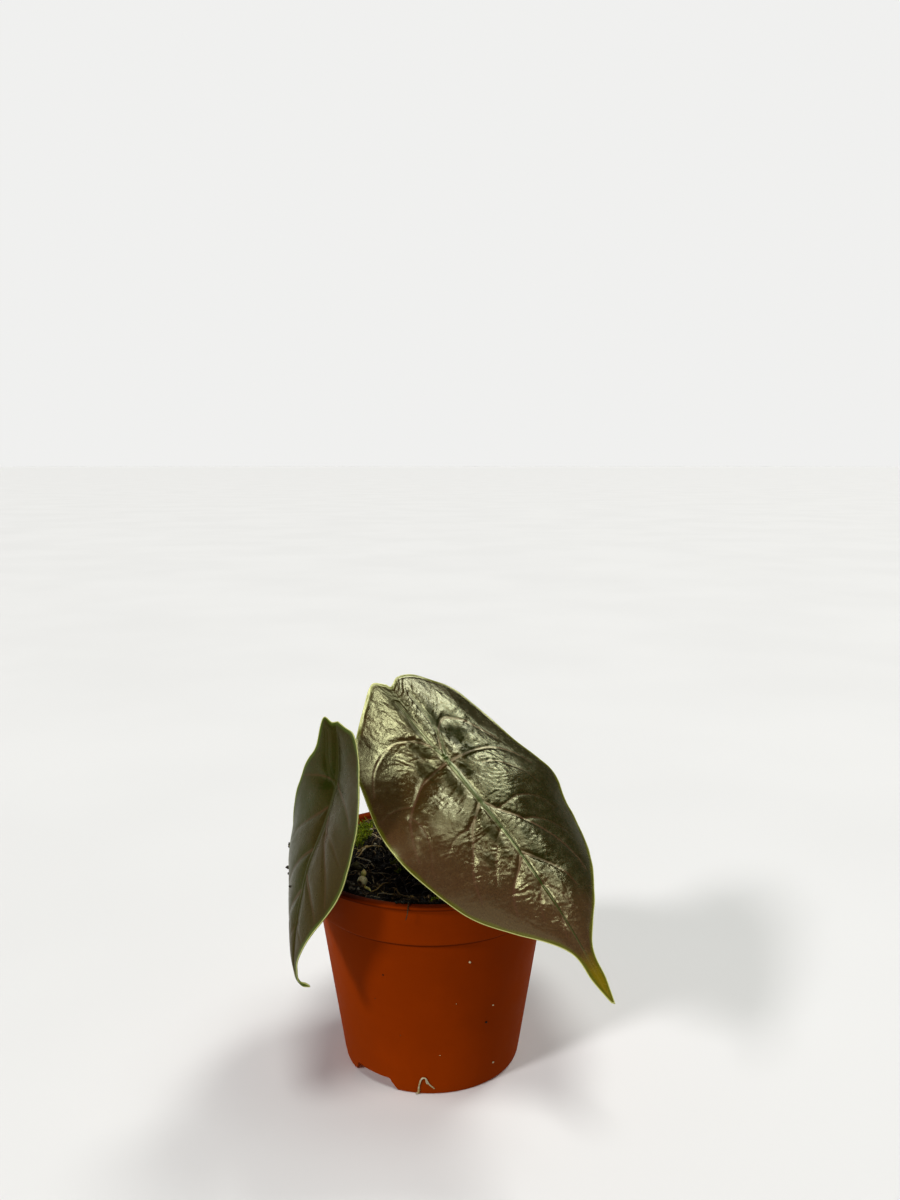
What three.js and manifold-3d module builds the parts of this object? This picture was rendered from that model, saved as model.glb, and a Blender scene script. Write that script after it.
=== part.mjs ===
// Potted alocasia azlanii: a small aroid with two glossy, shield-like leaves on
// short stalks, growing from a crown in a plastic nursery pot filled with peat.
// Millimetres, +Z up. Everything is drawn round the pot's axis with the foot on
// z = 0, and at the end the group is moved to the centre of its own footprint.

import * as THREE from "three";
import { mergeVertices } from "three/addons/utils/BufferGeometryUtils.js";
import Module from "manifold-3d";

const wasm = await Module();
wasm.setup();

// Driving dimensions of the pot: a standard 9 cm nursery pot
const POT = {
  height: 70.2,
  rimRadius: 45.0,
  rimThickness: 1.3,
  collarTopRadius: 43.2,
  collarFootRadius: 40.0,
  collarFootHeight: 55.6,
  wallTopRadius: 38.6,
  footRadius: 29.9,
  footWidth: 1.6,
  wall: 1.2,
  floorUnderside: 4.4,
  floorTop: 5.6,
  sides: 60,
};
const NOTCH = { height: 4.0, topWidth: 15.0, footWidth: 19.0, azimuths: [-39, 141] };
const DRAIN = { radius: 2.4, circle: 18, count: 6 };

// Peat, crown and what lies on the peat
const CLEARANCE = 0.3;
const SOIL = { rimHeight: 67.4, mound: 1.6, rings: 13, holeRadius: 5.6, holeFoot: 52 };
const CROWN = { x: 0, y: 1.5, foot: 52.4, top: 73.2, radius: 5.2, sides: 20 };
const GRANULE = { x: -21.6, y: -24.6, radius: 1.65, seatRadius: 3.4 };

// Rows of a leaf's tables start with the station along the blade: 0 is the notch
// between its two upper lobes, 0.24 is where the stalk joins, and 1 is the tip.
// The midrib rows hold x, y, z. Half widths are measured along the blade's surface.
// Keel is the angle at which a half leaves the midrib, droop is how far it then
// curls, and sweep is how far its margin lies back towards the lobes.
const STALK_STATION = 0.24;
const LARGE_LEAF = {
  name: "leaf_large",
  facing: [-0.05, -0.75, 0.65],
  length: 128,
  rows: 34,
  columns: 9,
  midrib: [
    [0, -13.8, 3.5, 126.3], [0.12, -4.8, -5.3, 116.3], [0.24, 4.5, -13.8, 107.2], [0.38, 14.4, -23.8, 97.7],
    [0.52, 23.7, -32.6, 88.3], [0.66, 32.0, -41.9, 79.0], [0.82, 41.0, -52.2, 67.9], [1, 51.9, -65.4, 51.5],
  ],
  halfWidth: [
    [0, 0.8], [0.04, 6.2], [0.1, 15.0], [0.18, 26.0], [0.28, 31.8], [0.4, 34.9],
    [0.53, 32.3], [0.66, 25.5], [0.78, 14.6], [0.88, 3.7], [0.95, 2.1], [1, 0.5],
  ],
  roll: [[0, -8.4], [0.3, -9.6], [0.65, -9.5], [1, -7.0]],
  left: {
    keel: [[0, -3], [0.2, -3], [0.4, -13], [0.6, -8], [0.8, 7], [1, 8]],
    droop: [[0, 11], [0.2, 11], [0.4, 7], [0.6, 12], [0.8, 22], [1, 24]],
    sweep: [[0, 1.5], [0.03, 8.3], [0.08, 8.5], [0.16, 7.0], [0.3, -0.3], [0.6, 2.0], [1, 0.6]],
    laterals: [[0.2, -0.25, 0.33], [0.265, -0.1, 0.4], [0.405, 0.22, 0.22], [0.568, 0.34, -0.1], [0.7, 0.22, 0]],
    lobeVein: [[0.24, 0], [0.215, 0.06], [0.17, 0.05], [0.115, 0.07], [0.058, 0.14]],
  },
  right: {
    keel: [[0, 7], [0.2, 8], [0.4, 9], [0.6, 12], [0.8, 8], [1, 8]],
    droop: [[0, 22], [0.2, 23], [0.4, 24], [0.6, 26], [0.8, 25], [1, 26]],
    sweep: [[0, 0.4], [0.03, 7.0], [0.08, 12.2], [0.16, 12.0], [0.3, -2.0], [0.6, 0.2], [1, -0.3]],
    laterals: [[0.245, 0.01, 0.06], [0.415, 0, 0.13], [0.512, -0.08, 0.32], [0.61, 0.02, 0.2], [0.73, 0.1, 0.05]],
    lobeVein: [[0.24, 0], [0.232, 0.06], [0.19, 0.14], [0.12, 0.27], [0.062, 0.57]],
  },
};
const SMALL_LEAF = {
  name: "leaf_small",
  facing: [-0.72, -0.62, 0.3],
  length: 88,
  rows: 28,
  columns: 7,
  midrib: [
    [0, -30.3, -16.5, 119.5], [0.12, -29.0, -20.5, 110.8], [0.24, -29.1, -24.6, 101.8], [0.38, -32.3, -29.8, 90.8],
    [0.52, -37.0, -35.3, 79.2], [0.66, -39.6, -39.2, 67.1], [0.82, -41.0, -42.6, 54.6], [0.92, -39.4, -43.6, 48.4],
    [1, -36.3, -43.6, 44.3],
  ],
  halfWidth: [
    [0, 1.2], [0.04, 5.6], [0.1, 10.9], [0.18, 16.8], [0.28, 21.5], [0.4, 22.9],
    [0.53, 20.8], [0.66, 15.3], [0.78, 7.7], [0.88, 2.4], [0.95, 1.3], [1, 0.5],
  ],
  roll: [[0, -8.5], [0.3, -1.4], [0.65, 4.6], [1, 0]],
  left: {
    keel: [[0, -18], [0.2, -14], [0.4, -4], [0.6, 0], [0.8, 2], [1, -1]],
    droop: [[0, 22], [0.2, 25], [0.4, 31], [0.6, 35], [0.8, 39], [1, 42]],
    sweep: [[0, 0], [0.03, 4.9], [0.08, 0.4], [0.16, 0.7], [0.3, -2.6], [0.6, -1.1], [1, -0.2]],
    laterals: [[0.225, -0.12, 0.1], [0.33, 0.1, 0.08], [0.46, 0.16, 0.05], [0.6, 0.2, 0], [0.73, 0.18, 0]],
    lobeVein: [[0.24, 0], [0.21, 0.06], [0.15, 0.12], [0.1, 0.2], [0.05, 0.4]],
  },
  right: {
    keel: [[0, -12], [0.2, -25], [0.4, -18], [0.6, -6], [0.8, -13], [1, -13]],
    droop: [[0, 16], [0.2, 9], [0.4, 13], [0.6, 19], [0.8, 16], [1, 17]],
    sweep: [[0, -0.1], [0.03, -0.5], [0.08, 0.2], [0.16, -3.4], [0.3, -0.8], [0.6, 1.4], [1, 1.6]],
    laterals: [[0.235, -0.1, 0.12], [0.28, 0, 0.16], [0.38, 0.15, 0.2], [0.53, 0.2, 0.05], [0.68, 0.2, 0]],
    lobeVein: [[0.24, 0], [0.21, 0.06], [0.15, 0.12], [0.1, 0.2], [0.05, 0.4]],
  },
};
const BLADE = {
  thickness: 0.7,
  quilting: 1.1,
  quiltingReach: 5.5,
  midribRelief: 0.9,
  midribReach: 1.8,
};
const STALK_SEAT = BLADE.thickness + CLEARANCE + 0.12;

// Stalks stand on the crown's top and meet the underside of their blade squarely
const STALKS = [
  {
    name: "petiole_large",
    leaf: LARGE_LEAF,
    foot: [2.3, 1.5],
    path: [[2.7, 1.6, 86], [3.6, -2.2, 96]],
    lead: 6,
    footRadius: 2.5,
    topRadius: 1.6,
  },
  {
    name: "petiole_small",
    leaf: SMALL_LEAF,
    foot: [-2.7, 1.5],
    path: [[-5.2, 4, 88], [-12.5, 4.5, 95.5], [-20.5, -1.5, 98], [-26, -14.5, 99]],
    lead: 2,
    footRadius: 2.1,
    topRadius: 1.1,
  },
];

// Thick surface roots, half sunk in the peat: x, y of each bend, and a radius
const ROOTS = [
  { radius: 0.6, bends: [[-27, -1.5], [-22.9, 4.3], [-18, 11]] },
  { radius: 0.5, bends: [[-25, -2.5], [-19.8, -8.7], [-13, -10]] },
  { radius: 0.5, bends: [[-21, -15.5], [-14, -16.2], [-7, -13]] },
  { radius: 0.7, bends: [[-16.5, -27], [-11.5, -31.5], [-6, -33.5], [1, -32.5]] },
  { radius: 0.5, bends: [[8, 20], [18, 17], [27, 20]] },
  { radius: 0.6, bends: [[14, -18], [22, -12], [25, -2]] },
];

const COLOURS = {
  pot: { color: 0x8f3d14, roughness: 0.55, metalness: 0 },
  soil: { color: 0x1d1813, roughness: 1, metalness: 0 },
  crown: { color: 0x5a4a33, roughness: 0.8, metalness: 0 },
  stalk: { color: 0x5f6a35, roughness: 0.5, metalness: 0 },
  blade: { color: 0x35351f, roughness: 0.3, metalness: 0 },
  granule: { color: 0xd9cfa0, roughness: 0.7, metalness: 0 },
};

// The value at t of a smooth curve through rows that start with their station
function through(rows, t) {
  const last = rows.length - 1;
  let k = 0;
  while (k < last - 1 && t > rows[k + 1][0]) k += 1;
  const slope = (i, c) => {
    const before = rows[Math.max(i - 1, 0)];
    const after = rows[Math.min(i + 1, last)];
    return (after[c] - before[c]) / (after[0] - before[0]);
  };
  const span = rows[k + 1][0] - rows[k][0];
  const u = (t - rows[k][0]) / span;
  const value = (c) =>
    (2 * u ** 3 - 3 * u ** 2 + 1) * rows[k][c] +
    (u ** 3 - 2 * u ** 2 + u) * span * slope(k, c) +
    (3 * u ** 2 - 2 * u ** 3) * rows[k + 1][c] +
    (u ** 3 - u ** 2) * span * slope(k + 1, c);
  return rows[k].slice(1).map((_, i) => value(i + 1));
}

const radians = THREE.MathUtils.degToRad;

// The directions along, across and out of the blade at a station of its midrib
function midribFrame(leaf, t) {
  const step = 0.001;
  const ahead = new THREE.Vector3(...through(leaf.midrib, Math.min(t + step, 1)));
  const behind = new THREE.Vector3(...through(leaf.midrib, Math.max(t - step, 0)));
  const along = ahead.sub(behind).normalize();
  const level = new THREE.Vector3(...leaf.facing).cross(along).normalize();
  const up = along.clone().cross(level);
  const roll = radians(through(leaf.roll, t)[0]);
  const across = level.multiplyScalar(Math.cos(roll)).addScaledVector(up, Math.sin(roll));
  const out = along.clone().cross(across);
  return { along, across, out };
}

// A point of the blade's smooth upper face, s runs from -1 at the left margin to 1
function bladePoint(leaf, t, s) {
  const side = Math.sign(s) || 1;
  const reach = Math.abs(s);
  const half = side < 0 ? leaf.left : leaf.right;
  const { along, across, out } = midribFrame(leaf, t);
  const width = through(leaf.halfWidth, t)[0];
  const keel = radians(through(half.keel, t)[0]);
  const droop = radians(through(half.droop, t)[0]) || 0.001;
  const outward = (width * (Math.sin(keel + droop * reach) - Math.sin(keel))) / droop;
  const down = (width * (Math.cos(keel) - Math.cos(keel + droop * reach))) / droop;
  const back = through(half.sweep, t)[0] * reach ** 1.5;
  return new THREE.Vector3(...through(leaf.midrib, t))
    .addScaledVector(across, side * outward)
    .addScaledVector(out, -down)
    .addScaledVector(along, -back);
}

function bladeNormal(leaf, t, s) {
  const step = 0.004;
  const along = bladePoint(leaf, Math.min(t + step, 1), s).sub(bladePoint(leaf, Math.max(t - step, 0), s));
  const left = Math.max(s - step, -1);
  const right = Math.min(s + step, 1);
  const across = bladePoint(leaf, t, right).sub(bladePoint(leaf, t, left));
  return along.cross(across).normalize();
}

// Veins laid out flat, in mm along and across the blade
function veinLines(leaf) {
  const flat = (t, s) => [t * leaf.length, s * through(leaf.halfWidth, t)[0]];
  const lines = [];
  for (const [half, side] of [[leaf.left, -1], [leaf.right, 1]]) {
    lines.push(half.lobeVein.map(([t, s]) => flat(t, s * side)));
    for (const [start, run, lead] of half.laterals) {
      const line = [];
      for (let s = 0; s <= 1.0001; s += 0.1) line.push(flat(Math.min(start + run * s + lead * s * s, 1), s * side));
      lines.push(line);
    }
  }
  return lines;
}

function distanceToLine(x, y, line) {
  let nearest = Infinity;
  for (let i = 0; i + 1 < line.length; i += 1) {
    const [ax, ay] = line[i];
    const dx = line[i + 1][0] - ax;
    const dy = line[i + 1][1] - ay;
    const u = THREE.MathUtils.clamp(((x - ax) * dx + (y - ay) * dy) / (dx * dx + dy * dy), 0, 1);
    nearest = Math.min(nearest, Math.hypot(x - ax - u * dx, y - ay - u * dy));
  }
  return nearest;
}

// Height of the quilted upper face: sunken veins with the blade puffed up between
function quilting(leaf, lines, t, s) {
  const width = through(leaf.halfWidth, t)[0];
  const x = t * leaf.length;
  const y = s * width;
  const vein = Math.min(Math.abs(y), ...lines.map((line) => distanceToLine(x, y, line)));
  const margin = (1 - Math.abs(s)) * width;
  const puff = 1 - Math.exp(-((vein / BLADE.quiltingReach) ** 2));
  const edge = 1 - Math.exp(-((margin / BLADE.quiltingReach) ** 2));
  return BLADE.quilting * puff * edge;
}

// Depth of the midrib that stands out below the blade, from the stalk to the tip
function midribDepth(leaf, t, s) {
  const y = s * through(leaf.halfWidth, t)[0];
  const fromStalk = 1 - Math.exp(-((((t - STALK_STATION) * leaf.length) / 5) ** 2));
  const taper = 1 - 0.8 * t;
  return BLADE.midribRelief * fromStalk * taper * Math.exp(-((y / BLADE.midribReach) ** 2));
}

// A closed leaf blade: the same grid above and below, joined round the margin
function bladeGeometry(leaf) {
  const { rows, columns } = leaf;
  const across = 2 * columns + 1;
  const lines = veinLines(leaf);
  const upper = [];
  const lower = [];
  for (let i = 0; i <= rows; i += 1) {
    const t = (i / rows) ** 1.25;
    for (let j = -columns; j <= columns; j += 1) {
      const s = j / columns;
      const normal = bladeNormal(leaf, t, s);
      const top = bladePoint(leaf, t, s).addScaledVector(normal, quilting(leaf, lines, t, s));
      upper.push(top);
      lower.push(top.clone().addScaledVector(normal, -BLADE.thickness - midribDepth(leaf, t, s)));
    }
  }
  const vertices = [...upper, ...lower];
  const below = upper.length;
  const faces = [];
  const quad = (a, b, c, d) => faces.push(a, b, c, a, c, d);
  for (let i = 0; i < rows; i += 1) {
    for (let j = 0; j < across - 1; j += 1) {
      const a = i * across + j;
      const b = a + across;
      quad(a, b, b + 1, a + 1);
      faces.push(below + a, below + b + 1, below + b, below + a, below + a + 1, below + b + 1);
    }
    const left = i * across;
    const right = left + across - 1;
    quad(left, left + below, left + below + across, left + across);
    quad(right, right + across, right + below + across, right + below);
  }
  const end = rows * across;
  for (let j = 0; j < across - 1; j += 1) {
    quad(j, j + 1, below + j + 1, below + j);
    quad(end + j, below + end + j, below + end + j + 1, end + j + 1);
  }
  return indexed(vertices, faces);
}

function indexed(vertices, faces) {
  const geometry = new THREE.BufferGeometry();
  geometry.setAttribute("position", new THREE.Float32BufferAttribute(vertices.flatMap((v) => v.toArray()), 3));
  geometry.setIndex(faces);
  return geometry;
}

// A stalk that tapers along its path, closed at both ends
function taperedTube(points, footRadius, topRadius, sides, steps) {
  const curve = new THREE.CatmullRomCurve3(points, false, "centripetal");
  const { normals, binormals } = curve.computeFrenetFrames(steps, false);
  const vertices = [];
  const faces = [];
  for (let i = 0; i <= steps; i += 1) {
    const centre = curve.getPointAt(i / steps);
    const radius = topRadius + (footRadius - topRadius) * (1 - i / steps) ** 2;
    for (let k = 0; k < sides; k += 1) {
      const angle = (k / sides) * 2 * Math.PI;
      vertices.push(
        centre
          .clone()
          .addScaledVector(normals[i], radius * Math.cos(angle))
          .addScaledVector(binormals[i], radius * Math.sin(angle)),
      );
    }
  }
  for (let i = 0; i < steps; i += 1) {
    for (let k = 0; k < sides; k += 1) {
      const a = i * sides + k;
      const b = i * sides + ((k + 1) % sides);
      faces.push(a, b, b + sides, a, b + sides, a + sides);
    }
  }
  for (let k = 1; k + 1 < sides; k += 1) {
    const top = steps * sides;
    faces.push(0, k + 1, k, top, top + k, top + k + 1);
  }
  return indexed(vertices, faces);
}

// Turned shape about the z axis, from a profile of radius and height
function turned(profile, sides) {
  const points = profile.map(([radius, height]) => new THREE.Vector2(radius, height));
  return new THREE.LatheGeometry(points, sides).rotateX(Math.PI / 2);
}

function toSolid(geometry) {
  const bare = geometry.clone();
  bare.deleteAttribute("normal");
  bare.deleteAttribute("uv");
  const merged = mergeVertices(bare, 0.0001);
  const build = (triVerts) =>
    new wasm.Manifold(
      new wasm.Mesh({ numProp: 3, vertProperties: merged.attributes.position.array, triVerts }),
    );
  const triangles = Uint32Array.from(merged.index.array).reduce((kept, _, i, all) => {
    if (i % 3) return kept;
    const [a, b, c] = all.slice(i, i + 3);
    if (a !== b && b !== c && c !== a) kept.push(a, b, c);
    return kept;
  }, []);
  const solid = build(Uint32Array.from(triangles));
  if (solid.volume() > 0) return solid;
  for (let i = 0; i < triangles.length; i += 3) {
    [triangles[i + 1], triangles[i + 2]] = [triangles[i + 2], triangles[i + 1]];
  }
  return build(Uint32Array.from(triangles));
}

function toGeometry(solid) {
  const mesh = solid.getMesh();
  const geometry = new THREE.BufferGeometry();
  geometry.setAttribute("position", new THREE.Float32BufferAttribute(mesh.vertProperties, 3));
  geometry.setIndex(Array.from(mesh.triVerts));
  return geometry;
}

// Radius of the pot's outer wall at a height below the collar
function wallRadius(z) {
  const taper = (POT.wallTopRadius - POT.footRadius) / POT.collarFootHeight;
  return POT.footRadius + taper * z;
}

// Direction on the ground: 0 degrees is the front, positive towards +X
function heading(azimuth) {
  const angle = radians(azimuth);
  return [Math.sin(angle), -Math.cos(angle)];
}

function potSolid() {
  const rimFoot = POT.height - POT.rimThickness;
  const innerFoot = POT.footRadius - POT.footWidth;
  const profile = [
    [0, POT.floorUnderside],
    [innerFoot + 0.3, POT.floorUnderside],
    [innerFoot, 0],
    [POT.footRadius - 0.3, 0],
    [POT.footRadius, 0.5],
    [wallRadius(28), 28],
    [POT.wallTopRadius, POT.collarFootHeight - 0.5],
    [POT.collarFootRadius, POT.collarFootHeight],
    [POT.collarTopRadius, rimFoot - 0.3],
    [POT.rimRadius - 0.3, rimFoot],
    [POT.rimRadius, rimFoot + 0.5],
    [POT.rimRadius - 0.1, POT.height - 0.3],
    [POT.rimRadius - 0.5, POT.height],
    [POT.collarTopRadius - 1, POT.height],
    [POT.collarFootRadius - POT.wall, POT.collarFootHeight - 0.6],
    [POT.wallTopRadius - POT.wall, POT.collarFootHeight - 1.1],
    [wallRadius(POT.floorTop) - POT.wall, POT.floorTop],
    [0, POT.floorTop],
  ];
  let pot = toSolid(turned(profile, POT.sides));
  for (const azimuth of NOTCH.azimuths) pot = pot.subtract(notchCutter(azimuth));
  for (let k = 0; k < DRAIN.count; k += 1) {
    const [x, y] = heading((k * 360) / DRAIN.count);
    const hole = new THREE.CylinderGeometry(DRAIN.radius, DRAIN.radius, 4, 16).rotateX(Math.PI / 2);
    hole.translate(x * DRAIN.circle, y * DRAIN.circle, POT.floorUnderside + 0.6);
    pot = pot.subtract(toSolid(hole));
  }
  return pot;
}

// A wedge through the foot ring with slanted flanks, for water to run out
function notchCutter(azimuth) {
  const slant = (NOTCH.footWidth - NOTCH.topWidth) / 2 / NOTCH.height;
  const low = NOTCH.footWidth / 2 + slant;
  const outline = new THREE.Shape([
    new THREE.Vector2(-low, -1),
    new THREE.Vector2(low, -1),
    new THREE.Vector2(NOTCH.topWidth / 2, NOTCH.height),
    new THREE.Vector2(-NOTCH.topWidth / 2, NOTCH.height),
  ]);
  const cutter = new THREE.ExtrudeGeometry(outline, { depth: 14, bevelEnabled: false });
  cutter.rotateX(Math.PI / 2).translate(0, -POT.footRadius + 9, 0).rotateZ(radians(azimuth));
  return toSolid(cutter);
}

// Height of the crumbly peat: a low mound, flat where a granule lies on it
function soilHeight(x, y) {
  const inner = POT.collarTopRadius - POT.wall;
  const mound = SOIL.mound * Math.cos((Math.PI / 2) * Math.min(Math.hypot(x, y) / inner, 1));
  const crumbs =
    0.55 * Math.sin(0.61 * x + 1.3) * Math.sin(0.53 * y - 0.4) +
    0.35 * Math.sin(1.37 * x - 0.9 * y + 2.1) +
    0.25 * Math.sin(0.7 * x + 1.63 * y + 0.5);
  const away = THREE.MathUtils.smoothstep(Math.hypot(x - GRANULE.x, y - GRANULE.y), 2.2, GRANULE.seatRadius + 3);
  return SOIL.rimHeight + mound + crumbs * away;
}

function soilSolid() {
  const gap = CLEARANCE + 0.1;
  const collarInside = (z) => {
    const taper = (POT.collarTopRadius - 1 - POT.collarFootRadius + POT.wall) /
      (POT.height - POT.collarFootHeight + 0.6);
    return POT.collarFootRadius - POT.wall + taper * (z - POT.collarFootHeight + 0.6) - gap;
  };
  const edge = collarInside(SOIL.rimHeight);
  const profile = [
    [0, POT.floorTop + CLEARANCE],
    [wallRadius(POT.floorTop) - POT.wall - gap, POT.floorTop + CLEARANCE],
    [POT.wallTopRadius - POT.wall - gap, POT.collarFootHeight - 1],
    [collarInside(POT.collarFootHeight), POT.collarFootHeight],
  ];
  for (let k = SOIL.rings; k >= 0; k -= 1) profile.push([(edge * k) / SOIL.rings, SOIL.rimHeight]);
  const body = turned(profile, POT.sides);
  const place = body.attributes.position;
  for (let i = 0; i < place.count; i += 1) {
    const [x, y, z] = [place.getX(i), place.getY(i), place.getZ(i)];
    if (z > SOIL.rimHeight - 0.01) place.setZ(i, soilHeight(x, y));
  }
  let soil = toSolid(body);
  for (const root of ROOTS) {
    const bends = root.bends.map(([x, y]) => new THREE.Vector3(x, y, soilHeight(x, y) + 0.15));
    const dip = (p) => new THREE.Vector3(p.x, p.y, p.z - 2.5);
    const path = [dip(bends[0]), ...bends, dip(bends[bends.length - 1])];
    soil = soil.add(toSolid(taperedTube(path, root.radius, root.radius, 6, 14)));
  }
  const hole = turned([[0, SOIL.holeFoot], [SOIL.holeRadius, SOIL.holeFoot], [SOIL.holeRadius, 80], [0, 80]], 20);
  return soil.subtract(toSolid(hole.translate(CROWN.x, CROWN.y, 0)));
}

// Short stem with the rings that old leaves left behind
function crownGeometry() {
  const { foot, top, radius } = CROWN;
  const profile = [[0, foot], [radius - 1, foot], [radius, foot + 2], [radius, top - 5]];
  for (const [inset, height] of [[0.1, 4.1], [-0.05, 3.8], [0.3, 2.6], [0.15, 2.3], [0.5, 0.8], [0.9, 0]]) {
    profile.push([radius - inset, top - height]);
  }
  profile.push([0, top]);
  return turned(profile, CROWN.sides).translate(CROWN.x, CROWN.y, 0);
}

function stalkGeometry(stalk) {
  const joint = bladePoint(stalk.leaf, STALK_STATION, 0);
  const out = midribFrame(stalk.leaf, STALK_STATION).out;
  const below = (distance) => joint.clone().addScaledVector(out, -distance);
  const [x, y] = stalk.foot;
  const foot = CROWN.top + CLEARANCE;
  const points = [
    new THREE.Vector3(x, y, foot),
    new THREE.Vector3(x, y, foot + 4),
    ...stalk.path.map((p) => new THREE.Vector3(...p)),
    below(STALK_SEAT + stalk.lead),
    below(STALK_SEAT),
  ];
  return taperedTube(points, stalk.footRadius, stalk.topRadius, 12, 20);
}

// A pale granule with a small bud on top, lying on the peat
function granuleSolid() {
  const { x, y, radius } = GRANULE;
  const body = new THREE.SphereGeometry(radius, 14, 10).scale(1, 0.95, 1);
  const bud = new THREE.SphereGeometry(radius * 0.55, 10, 8).translate(0.25, 0.9, radius * 1.2);
  const solid = toSolid(body).add(toSolid(bud));
  return solid.translate([x, y, soilHeight(x, y) + radius + CLEARANCE]);
}

function named(name, geometry, finish) {
  const mesh = new THREE.Mesh(geometry, new THREE.MeshStandardMaterial(finish));
  mesh.name = name;
  return mesh;
}

const group = new THREE.Group();
group.add(named("pot", toGeometry(potSolid()), COLOURS.pot));
group.add(named("soil", toGeometry(soilSolid()), COLOURS.soil));
group.add(named("crown", toGeometry(toSolid(crownGeometry())), COLOURS.crown));
group.add(named("granule", toGeometry(granuleSolid()), COLOURS.granule));
for (const stalk of STALKS) {
  group.add(named(stalk.name, stalkGeometry(stalk), COLOURS.stalk));
  group.add(named(stalk.leaf.name, bladeGeometry(stalk.leaf), COLOURS.blade));
}

const bounds = new THREE.Box3().setFromObject(group);
const centre = bounds.getCenter(new THREE.Vector3());
group.position.set(-centre.x, -centre.y, -bounds.min.z);

export default group;
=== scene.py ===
import math

import bmesh
import bpy
import numpy as np
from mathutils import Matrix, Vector
from mathutils.kdtree import KDTree


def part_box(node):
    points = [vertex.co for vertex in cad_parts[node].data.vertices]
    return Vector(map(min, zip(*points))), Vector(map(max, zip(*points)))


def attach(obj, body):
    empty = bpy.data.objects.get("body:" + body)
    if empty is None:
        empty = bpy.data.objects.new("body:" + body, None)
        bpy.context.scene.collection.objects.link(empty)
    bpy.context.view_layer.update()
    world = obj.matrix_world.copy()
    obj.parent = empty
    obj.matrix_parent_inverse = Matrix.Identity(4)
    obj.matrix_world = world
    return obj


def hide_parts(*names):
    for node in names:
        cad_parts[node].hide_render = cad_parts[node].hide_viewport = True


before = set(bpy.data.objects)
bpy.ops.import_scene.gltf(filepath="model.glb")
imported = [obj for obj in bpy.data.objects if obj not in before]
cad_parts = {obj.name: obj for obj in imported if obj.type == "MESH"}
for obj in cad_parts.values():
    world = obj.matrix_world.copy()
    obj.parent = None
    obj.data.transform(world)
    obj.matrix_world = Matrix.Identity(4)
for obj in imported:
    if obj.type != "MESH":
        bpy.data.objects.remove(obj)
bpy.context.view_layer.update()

MM = 0.001
pot_low, pot_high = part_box("pot")
AXIS = np.array([(pot_low.x + pot_high.x) / 2, (pot_low.y + pot_high.y) / 2, 0.0])

POT_HEIGHT = 70.2
RIM_RADIUS = 45.0
COLLAR_TOP_RADIUS = 43.2
COLLAR_FOOT_RADIUS = 40.0
COLLAR_FOOT_HEIGHT = 55.6
WALL_TOP_RADIUS = 38.6
FOOT_RADIUS = 29.9
FOOT_WIDTH = 1.6
WALL = 1.2
FLOOR_UNDERSIDE = 4.4
FLOOR_TOP = 5.6
NOTCH_AZIMUTHS = (-39, 141)
NOTCH_HEIGHT, NOTCH_TOP, NOTCH_FOOT = 4.0, 15.0, 19.0
DRAIN_RADIUS, DRAIN_CIRCLE, DRAIN_COUNT = 2.4, 18.0, 6
POT_SIDES = 240

SOIL_HEIGHT = 67.4
SOIL_MOUND = 1.6
SOIL_RADIUS = 42.0
CROWN_PLACE = np.array([0.0, 1.5])
CROWN_TOP = 73.2
CROWN_RADIUS = 5.2

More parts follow.
